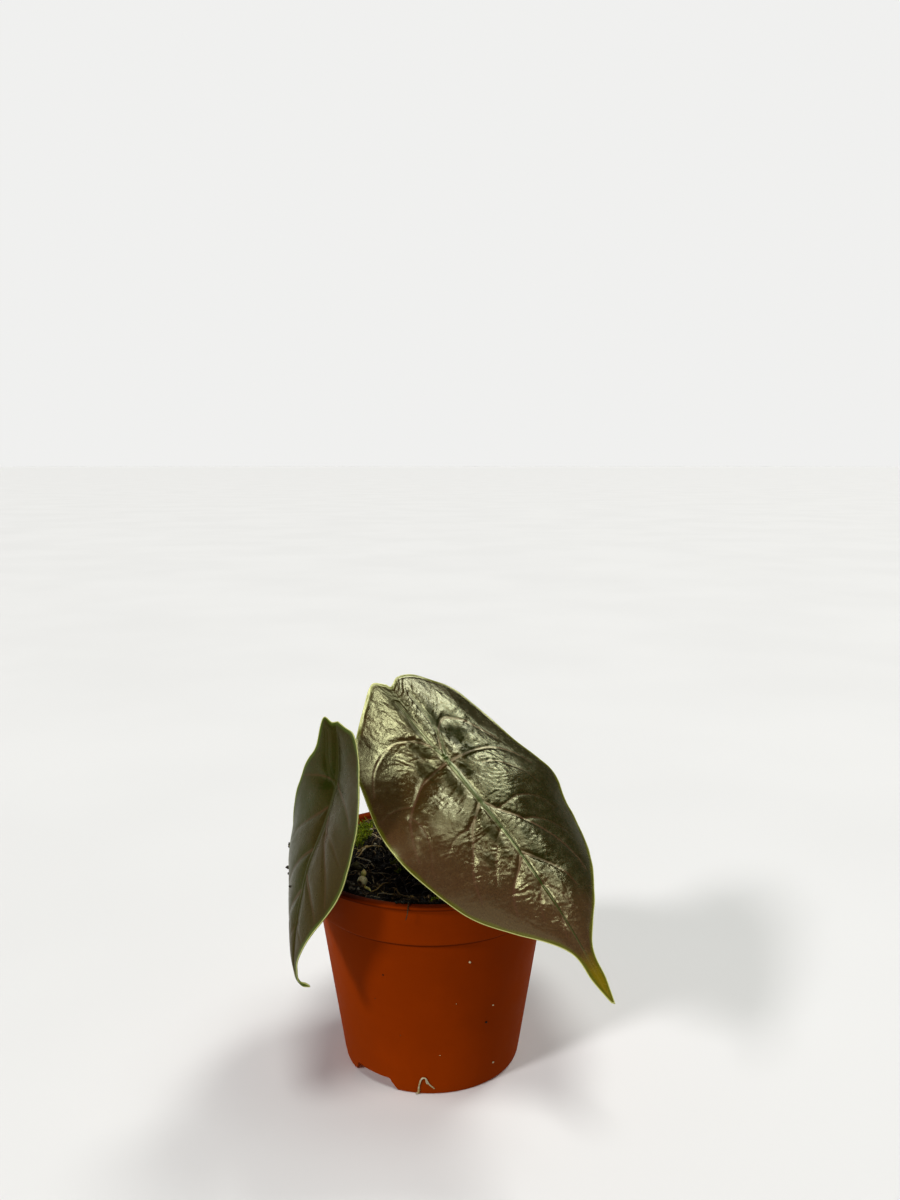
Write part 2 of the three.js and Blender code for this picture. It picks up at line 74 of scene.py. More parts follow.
# Leaf tables: the station t runs from the notch between the lobes (0) past the
# stalk (0.24) to the tip (1). Midrib rows hold x, y, z; half widths are measured
# along the blade; keel, droop and sweep shape the two halves, trim narrows a half
# where its margin curls, and creased is how far from the midrib it wrinkles.
# Veins are drawn flat, as (t, mm across the blade).
STALK_STATION = 0.24
LARGE_LEAF = dict(
    facing=(-0.05, -0.75, 0.65),
    length=128.0,
    midrib=[
        (0, -13.8, 3.5, 126.3), (0.12, -4.8, -5.3, 116.3), (0.24, 4.5, -13.8, 107.2),
        (0.38, 14.4, -23.8, 97.7),
        (0.52, 23.7, -32.6, 88.3), (0.66, 32.0, -41.9, 79.0), (0.82, 41.0, -52.2, 67.9),
        (1, 51.9, -65.4, 51.5),
    ],
    half_width=[
        (0, 0.8), (0.04, 6.2), (0.1, 15.0), (0.18, 26.0), (0.28, 31.8), (0.4, 34.9),
        (0.53, 32.3), (0.66, 25.5), (0.78, 14.6), (0.88, 3.7), (0.95, 2.1), (1, 0.5),
    ],
    roll=[(0, -8.4), (0.3, -9.6), (0.65, -9.5), (1, -7.0)],
    left=dict(
        keel=[(0, -3), (0.2, -3), (0.4, -13), (0.6, -8), (0.8, 7), (1, 8)],
        droop=[(0, 11), (0.2, 11), (0.4, 7), (0.6, 12), (0.8, 22), (1, 24)],
        sweep=[(0, 1.5), (0.03, 8.3), (0.08, 8.5), (0.16, 7.0), (0.3, -0.3), (0.6, 2.0), (1, 0.6)],
        trim=[(0, 0), (0.18, 0), (0.22, 0.02), (0.27, 0.01), (0.32, 0), (1, 0)],
        creased=[(0, 6), (0.08, 16), (0.2, 19), (0.35, 21), (0.55, 22), (0.68, 19), (0.8, 12), (1, 4)],
    ),
    right=dict(
        keel=[(0, 7), (0.2, 8), (0.4, 9), (0.6, 12), (0.8, 8), (1, 8)],
        droop=[(0, 22), (0.2, 23), (0.4, 24), (0.6, 26), (0.8, 25), (1, 26)],
        sweep=[(0, 0.4), (0.03, 7.0), (0.08, 12.2), (0.16, 12.0), (0.3, -2.0), (0.6, 0.2), (1, -0.3)],
        trim=[
            (0, 0), (0.13, 0), (0.19, 0.05), (0.25, 0.05), (0.3, 0.015), (0.37, 0), (0.42, 0.03),
            (0.48, 0.07), (0.54, 0.05), (0.62, 0.02), (0.72, 0), (1, 0),
        ],
        creased=[
            (0, 5), (0.08, 14), (0.2, 21), (0.33, 19), (0.42, 15), (0.5, 11), (0.7, 10), (0.8, 6), (1, 3),
        ],
    ),
    main_veins=[
        [(0.205, -0.8), (0.18, -3), (0.163, -6), (0.156, -10), (0.165, -14), (0.18, -18), (0.2, -22),
         (0.222, -25), (0.25, -27.5)],
        [(0.258, -0.8), (0.264, -5), (0.27, -8), (0.28, -12), (0.295, -15), (0.315, -18), (0.335, -21),
         (0.36, -24), (0.395, -26.5), (0.43, -28.5), (0.475, -29.7)],
        [(0.405, -1), (0.42, -3), (0.44, -6), (0.465, -9), (0.5, -11.5), (0.53, -13.5), (0.56, -15.5),
         (0.59, -17), (0.62, -18), (0.665, -18.6)],
        [(0.595, -0.7), (0.62, -3), (0.645, -6), (0.67, -8.5), (0.7, -10.3), (0.735, -11.3)],
        [(0.215, 1), (0.185, 3.5), (0.168, 6), (0.163, 8.5), (0.168, 11), (0.18, 13), (0.2, 16.5),
         (0.225, 20), (0.255, 24)],
        [(0.258, 1), (0.258, 6), (0.259, 11), (0.263, 15), (0.268, 18), (0.276, 21), (0.29, 24), (0.31, 26.4),
         (0.335, 27.8)],
        [(0.41, 1), (0.44, 3), (0.46, 5), (0.485, 8), (0.515, 11), (0.55, 14), (0.585, 16.5), (0.625, 18),
         (0.67, 18.7), (0.7, 18.3)],
        [(0.585, 0.8), (0.61, 3.5), (0.635, 6), (0.66, 8.4), (0.69, 10), (0.73, 10.8)],
    ],
    fine_veins=[
        [(0.35, -23), (0.38, -22.2), (0.41, -22.6), (0.46, -24.6), (0.5, -26.5), (0.545, -27.8)],
        [(0.325, -20), (0.315, -23), (0.31, -27), (0.318, -31)],
        [(0.44, -6), (0.455, -10), (0.46, -14), (0.475, -18), (0.5, -21)],
        [(0.5, -0.7), (0.525, -4), (0.56, -7), (0.6, -10), (0.64, -12.5)],
        [(0.69, -0.4), (0.715, -2.4), (0.745, -4.2), (0.785, -5.6)],
        [(0.79, -0.3), (0.82, -1.6), (0.85, -2.4)],
        [(0.442, 4), (0.438, 9), (0.432, 12), (0.436, 16), (0.45, 20), (0.47, 23), (0.495, 25.2)],
        [(0.69, 0.4), (0.72, 2.6), (0.75, 4.2), (0.785, 5.2)],
        [(0.3, 10), (0.304, 14), (0.325, 18), (0.36, 22), (0.41, 25)],
        [(0.5, 9.5), (0.51, 14), (0.535, 19), (0.575, 23)],
    ],
    lobe_veins=[
        [(0.24, -0.2), (0.2, -0.9), (0.15, -1.1), (0.1, -1.2), (0.055, -1.6)],
        [(0.24, 0.5), (0.21, 2.2), (0.185, 3.8), (0.15, 4.7), (0.11, 4.9), (0.065, 4.4)],
    ],
    # Hollows and bulges that stand out: t, mm across, length and breadth in mm, turn in degrees, height
    swellings=[
        (0.208, 8.8, 4.4, 3.8, 0, -1.0), (0.2, -5.2, 4.4, 2.8, 0, -0.7), (0.25, -9.0, 3.8, 3.8, 0, -0.6),
        (0.295, 3.4, 3.2, 2.6, 0, -0.5), (0.34, -6.5, 6.5, 4.0, 0, -0.5), (0.52, -8.0, 12.0, 4.0, 0, -0.42),
        (0.38, 12.5, 14.0, 4.2, 0, 0.32), (0.18, 17, 5.0, 6.5, 0, 0.35), (0.58, 9, 6.0, 4.4, 0, 0.3),
        (0.16, -21, 4.4, 4.9, 0, -0.35), (0.34, -15.5, 9.0, 3.0, 10, 0.3),
    ],
    # Painted shade spots that darken the colour and dim the gloss without changing the shape: t, mm across,
    # length and breadth in mm, depth
    painted_shade_spots=[
        (0.05, -2.2, 6.0, 2.2, 0.7), (0.13, -2.0, 5.5, 1.7, 0.75), (0.2, -5.2, 4.0, 2.8, 0.9),
        (0.25, -8.6, 3.4, 3.6, 1.0),
        (0.32, -3.8, 6.0, 2.8, 0.75), (0.5, -4.0, 9.0, 1.9, 0.7), (0.56, -10.0, 4.0, 2.2, 0.6),
        (0.155, 6.6, 5.5, 1.8, 0.85), (0.208, 9.2, 3.8, 4.0, 1.0), (0.25, 9.6, 2.6, 3.4, 0.8),
        (0.295, 3.2, 4.0, 2.4, 0.9),
        (0.54, 6.6, 4.0, 2.4, 0.6), (0.62, 4.4, 4.5, 1.8, 0.6), (0.36, 20, 6.0, 2.0, 0.4),
        (0.09, 11, 6.0, 5.0, 0.3),
        (0.385, -30.5, 11.0, 6.0, 0.95), (0.43, -24.0, 6.0, 3.5, 0.7), (0.22, -29.0, 8.0, 4.0, 0.6),
    ],
    quilting=0.15,
    puffing=0.16,
    wrinkles=1.15,
    rib_width=0.8,
    seed=11,
)
SMALL_LEAF = dict(
    facing=(-0.72, -0.62, 0.3),
    length=88.0,
    midrib=[
        (0, -30.3, -16.5, 119.5), (0.12, -29.0, -20.5, 110.8), (0.24, -29.1, -24.6, 101.8),
        (0.38, -32.3, -29.8, 90.8),
        (0.52, -37.0, -35.3, 79.2), (0.66, -39.6, -39.2, 67.1), (0.82, -41.0, -42.6, 54.6),
        (0.92, -40.3, -43.5, 47.9),
        (0.965, -38.7, -43.6, 45.5), (1, -36.1, -43.6, 44.8),
    ],
    half_width=[
        (0, 1.2), (0.04, 5.6), (0.1, 10.9), (0.18, 16.8), (0.28, 21.5), (0.4, 22.9),
        (0.53, 20.8), (0.66, 15.3), (0.78, 7.7), (0.88, 2.4), (0.95, 1.3), (1, 0.5),
    ],
    roll=[(0, -8.5), (0.3, -1.4), (0.65, 4.6), (1, 0)],
    left=dict(
        keel=[(0, -18), (0.2, -14), (0.4, -4), (0.6, 0), (0.8, 2), (1, -1)],
        droop=[(0, 22), (0.2, 25), (0.4, 31), (0.6, 35), (0.8, 39), (1, 42)],
        sweep=[(0, 0), (0.03, 4.9), (0.08, 0.4), (0.16, 0.7), (0.3, -2.6), (0.6, -1.1), (1, -0.2)],
        trim=[(0, 0), (1, 0)],
        creased=[(0, 4), (0.2, 12), (0.5, 12), (1, 3)],
    ),
    right=dict(
        keel=[(0, -12), (0.2, -25), (0.4, -18), (0.6, -6), (0.8, -13), (1, -13)],
        droop=[(0, 16), (0.2, 9), (0.4, 13), (0.6, 19), (0.8, 16), (1, 17)],
        sweep=[(0, -0.1), (0.03, -0.5), (0.08, 0.2), (0.16, -3.4), (0.3, -0.8), (0.6, 1.4), (1, 1.6)],
        trim=[(0, 0), (1, 0)],
        creased=[(0, 4), (0.2, 12), (0.5, 12), (1, 3)],
    ),
    main_veins=[
        [(0.23, -1.5), (0.21, -6), (0.2, -12), (0.197, -16.5)],
        [(0.33, -1.5), (0.355, -5), (0.375, -9), (0.395, -13), (0.42, -17)],
        [(0.47, -1), (0.5, -5), (0.54, -9), (0.59, -12.5)],
        [(0.6, -0.8), (0.63, -3.5), (0.67, -6.5), (0.71, -8.5)],
        [(0.24, 1), (0.262, 4), (0.285, 8), (0.31, 12), (0.345, 16), (0.385, 19)],
        [(0.36, 0.8), (0.42, 4), (0.47, 8), (0.52, 11), (0.58, 12.6), (0.635, 13.5)],
        [(0.55, 0.8), (0.59, 4), (0.63, 7), (0.67, 9.5), (0.7, 10.5)],
    ],
    fine_veins=[
        [(0.72, -0.5), (0.75, -2.5), (0.79, -4.5)],
        [(0.7, 0.5), (0.74, 3), (0.78, 5)],
        [(0.41, 3.4), (0.42, 8), (0.45, 13), (0.49, 17.5)],
    ],
    lobe_veins=[
        [(0.24, -1), (0.2, -3.5), (0.13, -4.5), (0.05, -3.8)],
        [(0.24, -0.5), (0.15, -0.2), (0.05, 0.1)],
    ],
    swellings=[
        (0.23, -5, 2.0, 4.0, 0, -0.5), (0.17, -5.5, 3.0, 2.0, 0, 0.35), (0.28, -7, 3.0, 4.0, 0, 0.3),
        (0.3, 3.5, 6.0, 2.5, 0, 0.3), (0.42, 9, 6.0, 4.0, 0, 0.3),
    ],
    painted_shade_spots=[(0.25, -4.0, 2.6, 2.6, 0.8), (0.2, -2.0, 4.0, 1.4, 0.5)],
    quilting=0.3,
    puffing=0.12,
    wrinkles=0.35,
    rib_width=0.6,
    seed=23,
)


def through(rows, t):
    """Smooth curve through rows that start with their station, at each t."""
    rows = np.asarray(rows, float)
    at, values = rows[:, 0], rows[:, 1:]
    slopes = np.empty_like(values)
    slopes[1:-1] = (values[2:] - values[:-2]) / (at[2:] - at[:-2])[:, None]
    slopes[0] = (values[1] - values[0]) / (at[1] - at[0])
    slopes[-1] = (values[-1] - values[-2]) / (at[-1] - at[-2])
    t = np.asarray(t, float)
    k = np.clip(np.searchsorted(at, t, side="right") - 1, 0, len(at) - 2)
    span = (at[k + 1] - at[k])[..., None]
    u = ((t - at[k])[..., None]) / span
    return (
        (2 * u**3 - 3 * u**2 + 1) * values[k]
        + (u**3 - 2 * u**2 + u) * span * slopes[k]
        + (3 * u**2 - 2 * u**3) * values[k + 1]
        + (u**3 - u**2) * span * slopes[k + 1]
    )


def number_at(rows, t):
    """The number at each t, from rows of (t, number)."""
    return through(rows, t)[..., 0]


def turns(count):
    return np.linspace(0, 2 * np.pi, count, endpoint=False)


def unit(v):
    return v / np.maximum(np.linalg.norm(v, axis=-1, keepdims=True), 1e-12)


def smooth_step(x, low, high):
    u = np.clip((x - low) / (high - low), 0, 1)
    return u * u * (3 - 2 * u)


class Grain:
    """Seeded gradient noise in three dimensions, about -1 to 1."""

    def __init__(self, seed):
        rng = np.random.RandomState(seed)
        self.order = np.tile(rng.permutation(256), 3)
        self.slopes = unit(rng.normal(size=(256, 3)))

    def __call__(self, *place):
        p = np.stack(np.broadcast_arrays(*place, *[0.0] * (3 - len(place))), -1).astype(float)
        cell = np.floor(p).astype(int)
        f = p - cell
        cell &= 255
        ease = f**3 * (f * (f * 6 - 15) + 10)
        total = np.zeros(p.shape[:-1])
        for corner in range(8):
            step = np.array([corner & 1, corner >> 1 & 1, corner >> 2])
            c = (cell + step) & 255
            key = self.order[self.order[self.order[c[..., 0]] + c[..., 1]] + c[..., 2]]
            weight = np.prod(np.where(step == 1, ease, 1 - ease), -1)
            total += weight * (self.slopes[key] * (f - step)).sum(-1)
        return total * 1.6

    def layered(self, *place, octaves=3):
        return sum(self(*[c * 2**k + 17.3 * k for c in place]) / 2**k for k in range(octaves))


class Shell:
    """Collects vertices in mm, faces and vertex attributes for one piece."""

    def __init__(self):
        self.vertices, self.faces, self.slots, self.marks, self.count = [], [], [], {}, 0

    def add(self, vertices, faces, slot=0, **marks):
        vertices = np.asarray(vertices, float).reshape(-1, 3)
        for name in set(self.marks) | set(marks):
            value = np.broadcast_to(np.asarray(marks.get(name, 0.0), float).ravel(), (len(vertices),))
            self.marks.setdefault(name, [np.zeros(self.count)] if self.count else []).append(value)
        self.vertices.append(vertices)
        for face in faces:
            self.faces.append([int(i) + self.count for i in face])
            self.slots.append(slot)
        self.count += len(vertices)

    def make(self, name, *materials, smooth=True, replaces=None, slot=None):
        mesh = bpy.data.meshes.new(name)
        mesh.from_pydata((np.concatenate(self.vertices) * MM + AXIS).tolist(), [], self.faces)
        for mark, values in self.marks.items():
            layer = mesh.attributes.new(mark, "FLOAT", "POINT")
            layer.data.foreach_set("value", np.concatenate(values).astype(np.float32))
        mesh.polygons.foreach_set("use_smooth", [smooth] * len(self.faces))
        mesh.polygons.foreach_set("material_index", self.slots)
        for material in materials:
            mesh.materials.append(material)
        mesh.update()
        piece = bpy.data.objects.new(name, mesh)
        bpy.context.scene.collection.objects.link(piece)
        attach(piece, "root")
        if replaces:
            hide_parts(replaces)
        return piece


def grid_faces(rows, columns, offset=0, flip=False, wrap=False):
    """Quads of a grid with rows x columns vertices."""
    i, j = np.meshgrid(np.arange(rows - 1), np.arange(columns if wrap else columns - 1), indexing="ij")
    a = i * columns + j
    b = i * columns + (j + 1) % columns
    quads = np.stack([a, a + columns, b + columns, b], -1).reshape(-1, 4) + offset
    return quads[:, ::-1] if flip else quads


def barrel(rows, sides, flip=False):
    """Faces of a grid that is wrapped round, with both its ends closed."""
    first, last = list(range(sides)), list(range((rows - 1) * sides, rows * sides))
    ends = [first, last[::-1]] if flip else [first[::-1], last]
    return grid_faces(rows, sides, flip=flip, wrap=True).tolist() + ends


def tube(shell, points, radii, sides, slot=0, **marks):
    """A closed tube along points, with a radius at each."""
    points = np.asarray(points, float)
    radii = np.broadcast_to(np.asarray(radii, float), (len(points),))
    ahead = unit(np.gradient(points, axis=0))
    first = np.cross(ahead[0], (0, 0, 1) if abs(ahead[0][2]) < 0.9 else (1, 0, 0))
    normals = [unit(first)]
    for direction in ahead[1:]:
        normals.append(unit(normals[-1] - direction * normals[-1].dot(direction)))
    normals = np.array(normals)
    binormals = np.cross(ahead, normals)
    angle = turns(sides)
    ring = normals[:, None] * np.cos(angle)[None, :, None] + binormals[:, None] * np.sin(angle)[None, :, None]
    along = np.repeat(np.linspace(0, 1, len(points)), sides)
    vertices = points[:, None] + ring * radii[:, None, None]
    shell.add(vertices, barrel(len(points), sides), slot, along=along, **marks)


def curve(points, count):
    """Smooth points along a path through the given ones."""
    points = np.asarray(points, float)
    steps = np.maximum(np.linalg.norm(np.diff(points, axis=0), axis=1) ** 0.5, 1e-6)
    at = np.concatenate([[0], np.cumsum(steps)]) / steps.sum()
    return through(np.column_stack([at, points]), np.linspace(0, 1, count))


def midrib_frame(leaf, t):
    step = 0.001
    along = unit(
        through(leaf["midrib"], np.minimum(t + step, 1)) - through(leaf["midrib"], np.maximum(t - step, 0))
    )
    level = unit(np.cross(np.array(leaf["facing"]), along))
    up = np.cross(along, level)
    roll = np.radians(through(leaf["roll"], t))
    across = level * np.cos(roll) + up * np.sin(roll)
    return along, across, np.cross(along, across)


def of_side(leaf, key, t, s):
    """The number at t of the left half where s is below 0, and of the right half elsewhere."""
    return np.where(s < 0, number_at(leaf["left"][key], t), number_at(leaf["right"][key], t))


def blade_point(leaf, t, s):
    """A point of the smooth upper face, s runs from -1 at the left margin to 1."""
    t, s = np.broadcast_arrays(t, s)
    along, across, out = midrib_frame(leaf, t)
    side, reach = np.where(s < 0, -1.0, 1.0), np.abs(s)
    keel, droop = np.radians(of_side(leaf, "keel", t, s)), np.radians(of_side(leaf, "droop", t, s))
    width = number_at(leaf["half_width"], t) * (1 - of_side(leaf, "trim", t, s))
    outward = width * (np.sin(keel + droop * reach) - np.sin(keel)) / droop
    down = width * (np.cos(keel) - np.cos(keel + droop * reach)) / droop
    back = of_side(leaf, "sweep", t, s) * reach**1.5
    return (
        through(leaf["midrib"], t)
        + across * (side * outward)[..., None]
        - out * down[..., None]
        - along * back[..., None]
    )


def blade_normal(leaf, t, s):
    step = 0.004
    along = blade_point(leaf, np.minimum(t + step, 1), s) - blade_point(leaf, np.maximum(t - step, 0), s)
    across = blade_point(leaf, t, np.minimum(s + step, 1)) - blade_point(leaf, t, np.maximum(s - step, -1))
    return unit(np.cross(along, across))


def near_line(x, y, line):
    """Distance from a line, and how far along it the nearest point is, 0 to 1."""
    line = np.asarray(line, float)
    lengths = np.concatenate([[0], np.cumsum(np.linalg.norm(np.diff(line, axis=0), axis=1))])
    best, place = np.full(x.shape, np.inf), np.zeros(x.shape)
    for k in range(len(line) - 1):
        step = line[k + 1] - line[k]
        u = np.clip(((x - line[k][0]) * step[0] + (y - line[k][1]) * step[1]) / (step @ step), 0, 1)
        d = np.hypot(x - line[k][0] - u * step[0], y - line[k][1] - u * step[1])
        closer = d < best
        best = np.where(closer, d, best)
        place = np.where(closer, (lengths[k] + u * (lengths[k + 1] - lengths[k])) / lengths[-1], place)
    return best, place


def margin_distance(leaf, points):
    """Distance in mm of each point from the blade's margin."""
    stations = np.linspace(0, 1, 1200)
    lanes = np.linspace(-1, 1, 60)
    margin = np.concatenate([
        blade_point(leaf, stations, -1.0), blade_point(leaf, stations, 1.0),
        blade_point(leaf, 0.0, lanes), blade_point(leaf, 1.0, lanes),
    ])
    tree = KDTree(len(margin))
    for k, place in enumerate(margin.tolist()):
        tree.insert(place, k)
    tree.balance()
    near = [tree.find(place)[2] for place in points.reshape(-1, 3).tolist()]
    return np.array(near).reshape(points.shape[:-1])


def blade_relief(leaf, t, s, rim):
    """Height of the upper face, depth of the ribs below it, and masks for the material."""
    grain = Grain(leaf["seed"])
    size = leaf["length"] / 128
    y = t * leaf["length"]
    x = s * number_at(leaf["half_width"], t)

    def flat(rows):
        return curve([(at * leaf["length"], across) for at, across in rows], 4 * len(rows))

    def cord(distance, place, width, height, fade):
        taper = 1 - fade * place
        return height * taper * np.exp(-((distance / (width * np.maximum(taper, 0.3))) ** 2))

    below = t - STALK_STATION
    rib_half = leaf["rib_width"] * np.clip(1 - (t - 0.26) / 0.62, 0.12, 1)
    midrib = np.where(below > 0, np.abs(x), np.hypot(x, below * leaf["length"]))
    nearest = np.maximum(midrib - rib_half, 0)
    groove = np.zeros(x.shape)
    height = 0.1 * np.exp(-(((midrib - rib_half) / 0.22) ** 2))
    height += 0.26 * np.exp(-((midrib / (0.42 * rib_half + 0.1)) ** 2)) * (1 - smooth_step(t, 0.8, 0.95))
    rib_mask = smooth_step(rib_half + 0.25 - midrib, 0, 0.4)
    rib_mask *= 1 - smooth_step(t, 0.84, 0.93)
    ribs = 1.0 * np.exp(-((x / 1.6) ** 2)) * (1 - np.exp(-((below * leaf["length"] / 5) ** 2)))
    ribs *= (1 - 0.8 * t) * size
    vein_mask = np.zeros(x.shape)
    for rows in leaf["lobe_veins"]:
        d, place = near_line(y, x, flat(rows))
        half = 0.5 * (1 - 0.6 * place) * size
        nearest = np.minimum(nearest, np.maximum(d - half, 0))
        height += 0.14 * (1 - 0.6 * place) * np.exp(-(((d - half) / 0.25) ** 2))
        rib_mask = np.maximum(rib_mask, 0.75 * (1 - 0.7 * place) * smooth_step(half + 0.3 - d, 0, 0.4))
        ribs += cord(d, place, 1.0, 0.45 * size, 0.7)
    for rows in leaf["main_veins"]:
        d, place = near_line(y, x, flat(rows))
        nearest = np.minimum(nearest, d + 2.0 * place**2)
        height += cord(d, place, 0.34, 0.2, 0.75)
        vein_mask = np.maximum(vein_mask, (1 - 0.55 * place) * np.exp(-((d / (0.42 - 0.1 * place)) ** 4)))
        ribs += cord(d, place, 0.8, 0.4 * size, 0.75)
        groove += 0.35 * np.exp(-((d / 1.1) ** 2)) * (1 - 0.7 * place)
    for rows in leaf["fine_veins"]:
        d, place = near_line(y, x, flat(rows))
        height -= cord(d, place, 0.9, 0.16, 0.6)
        vein_mask = np.maximum(vein_mask, 0.5 * (1 - 0.6 * place) * np.exp(-((d / 0.34) ** 4)))
        ribs += cord(d, place, 0.6, 0.14 * size, 0.7)

    reach = 3.6 * size
    edge = 1 - np.exp(-((rim / (1.7 * reach)) ** 2))
    creased = of_side(leaf, "creased", t, x)
    centre = np.exp(-((x / np.maximum(creased, 0.5)) ** 4)) * (1 - smooth_step(t, 0.7, 0.92))
    height += leaf["quilting"] * (1 - np.exp(-((nearest / reach) ** 2))) * edge
    height += leaf["puffing"] * (1 - np.exp(-((nearest / 1.3) ** 2))) * edge * (0.35 + 0.65 * centre)
    height -= groove * edge * 0.4
    for at, across, long, broad, turn, swell in leaf["swellings"]:
        c, d = math.cos(math.radians(turn)), math.sin(math.radians(turn))
        u = ((y - at * leaf["length"]) * c + (x - across) * d) / long
        v = ((x - across) * c - (y - at * leaf["length"]) * d) / broad
        height += swell * np.exp(-(u * u + v * v)) * np.minimum(nearest / 1.2, 1)
    # Painted shade: the spots only build the hollow mark, which the material darkens and dulls; the height
    # stays as it is
    hollow = np.zeros(x.shape)
    ragged = 1.1 + 1.5 * grain(x * 0.3, y * 0.22, 6.6) + 0.8 * grain(x * 0.8, y * 0.6, 7.6)
    for at, across, long, broad, depth in leaf["painted_shade_spots"]:
        away = ((y - at * leaf["length"]) / long) ** 2 + ((x - across) / broad) ** 2
        hollow = np.maximum(hollow, depth * np.exp(-((away * np.maximum(ragged, 0.25)) ** 1.5)))

    height += 0.12 * size * grain.layered(x * 0.09 + 5, y * 0.12, octaves=2) * edge
    bend = 0.5 * grain(x * 0.22, y * 0.22)
    pucker, total = 0, 0
    for k, turn in enumerate((8, -32, 48, 88)):
        c, d = math.cos(math.radians(turn)), math.sin(math.radians(turn))
        u, v = x * c + y * d, y * c - x * d
        share = smooth_step(grain(x * 0.11, y * 0.11, 4.0 + 3.7 * k), -0.25, 0.3) + (0.3 if k == 0 else 0.02)
        pucker += share * np.abs(grain(u * 0.16 + bend, v * 0.48 + bend, 3.1 + 5 * k))
        pucker += 0.45 * share * np.abs(grain(u * 0.4 + bend, v * 0.95 - bend, 9.7 + 5 * k))
        total += share
    pucker /= total
    strong = 0.12 + 0.88 * centre * (0.5 + 0.5 * smooth_step(grain(x * 0.1, y * 0.1, 2.2), -0.5, 0.4))
    calm = smooth_step(nearest, 0.1, 1.2) * smooth_step(rim, 0.3, 2.5)
    height += leaf["wrinkles"] * 0.36 * pucker * strong * calm
    lip = np.exp(-((rim / 0.55) ** 2))
    height += (0.1 + 0.22 * grain(x * 0.1, y * 0.16, 8.1)) * lip * size
    ribs *= smooth_step(rim, 0.4, 2.0)
    vein_mask *= smooth_step(rim, 0.2, 1.0)
    marks = dict(
        rib=rib_mask, vein=vein_mask, rim=rim, station=t, across=x, creased=strong * calm, hollow=hollow
    )
    return height, ribs, marks


def blade(name, leaf, rows, columns, *materials, replaces):
    """A thin closed blade with a fine upper face, and an under face half as fine."""
    shell = Shell()
    stations = (np.arange(rows + 1) / rows) ** 1.12
    lanes = np.linspace(-1, 1, columns + 1)
    t, s = np.meshgrid(stations, lanes, indexing="ij")
    base, normal = blade_point(leaf, t, s), blade_normal(leaf, t, s)
    height, ribs, marks = blade_relief(leaf, t, s, margin_distance(leaf, base))
    upper = base + normal * height[..., None]
    shell.add(upper, grid_faces(rows + 1, columns + 1), 0, **marks)
    thick = 0.3 + 0.3 * smooth_step(marks["rim"], 0, 3)
    half = (slice(None, None, 2), slice(None, None, 2))
    lower = (base + normal * (height - thick - ribs)[..., None])[half]
    low_marks = {key: value[half] for key, value in marks.items()}
    low_marks["ribs"] = ribs[half]
    shell.add(lower, grid_faces(rows // 2 + 1, columns // 2 + 1, flip=True), 1, **low_marks)
    count = (rows + 1) * (columns + 1)
    fine = np.arange(count).reshape(rows + 1, columns + 1)
    coarse = count + np.arange(lower[..., 0].size).reshape(lower.shape[:2])
    faces = []

    def stitch(top, bottom, turned):
        for k in range(len(bottom) - 1):
            a, b, c = top[2 * k], top[2 * k + 1], top[2 * k + 2]
            d, e = bottom[k], bottom[k + 1]
            for face in ((a, b, d), (b, e, d), (b, c, e)):
                faces.append(face[::-1] if turned else face)

    stitch(fine[:, 0], coarse[:, 0], True)
    stitch(fine[:, -1], coarse[:, -1], False)
    stitch(fine[0], coarse[0], False)
    stitch(fine[-1], coarse[-1], True)
    shell.faces += [[int(i) for i in face] for face in faces]
    shell.slots += [2] * len(faces)
    return shell.make(name, *materials, replaces=replaces, slot="blade")


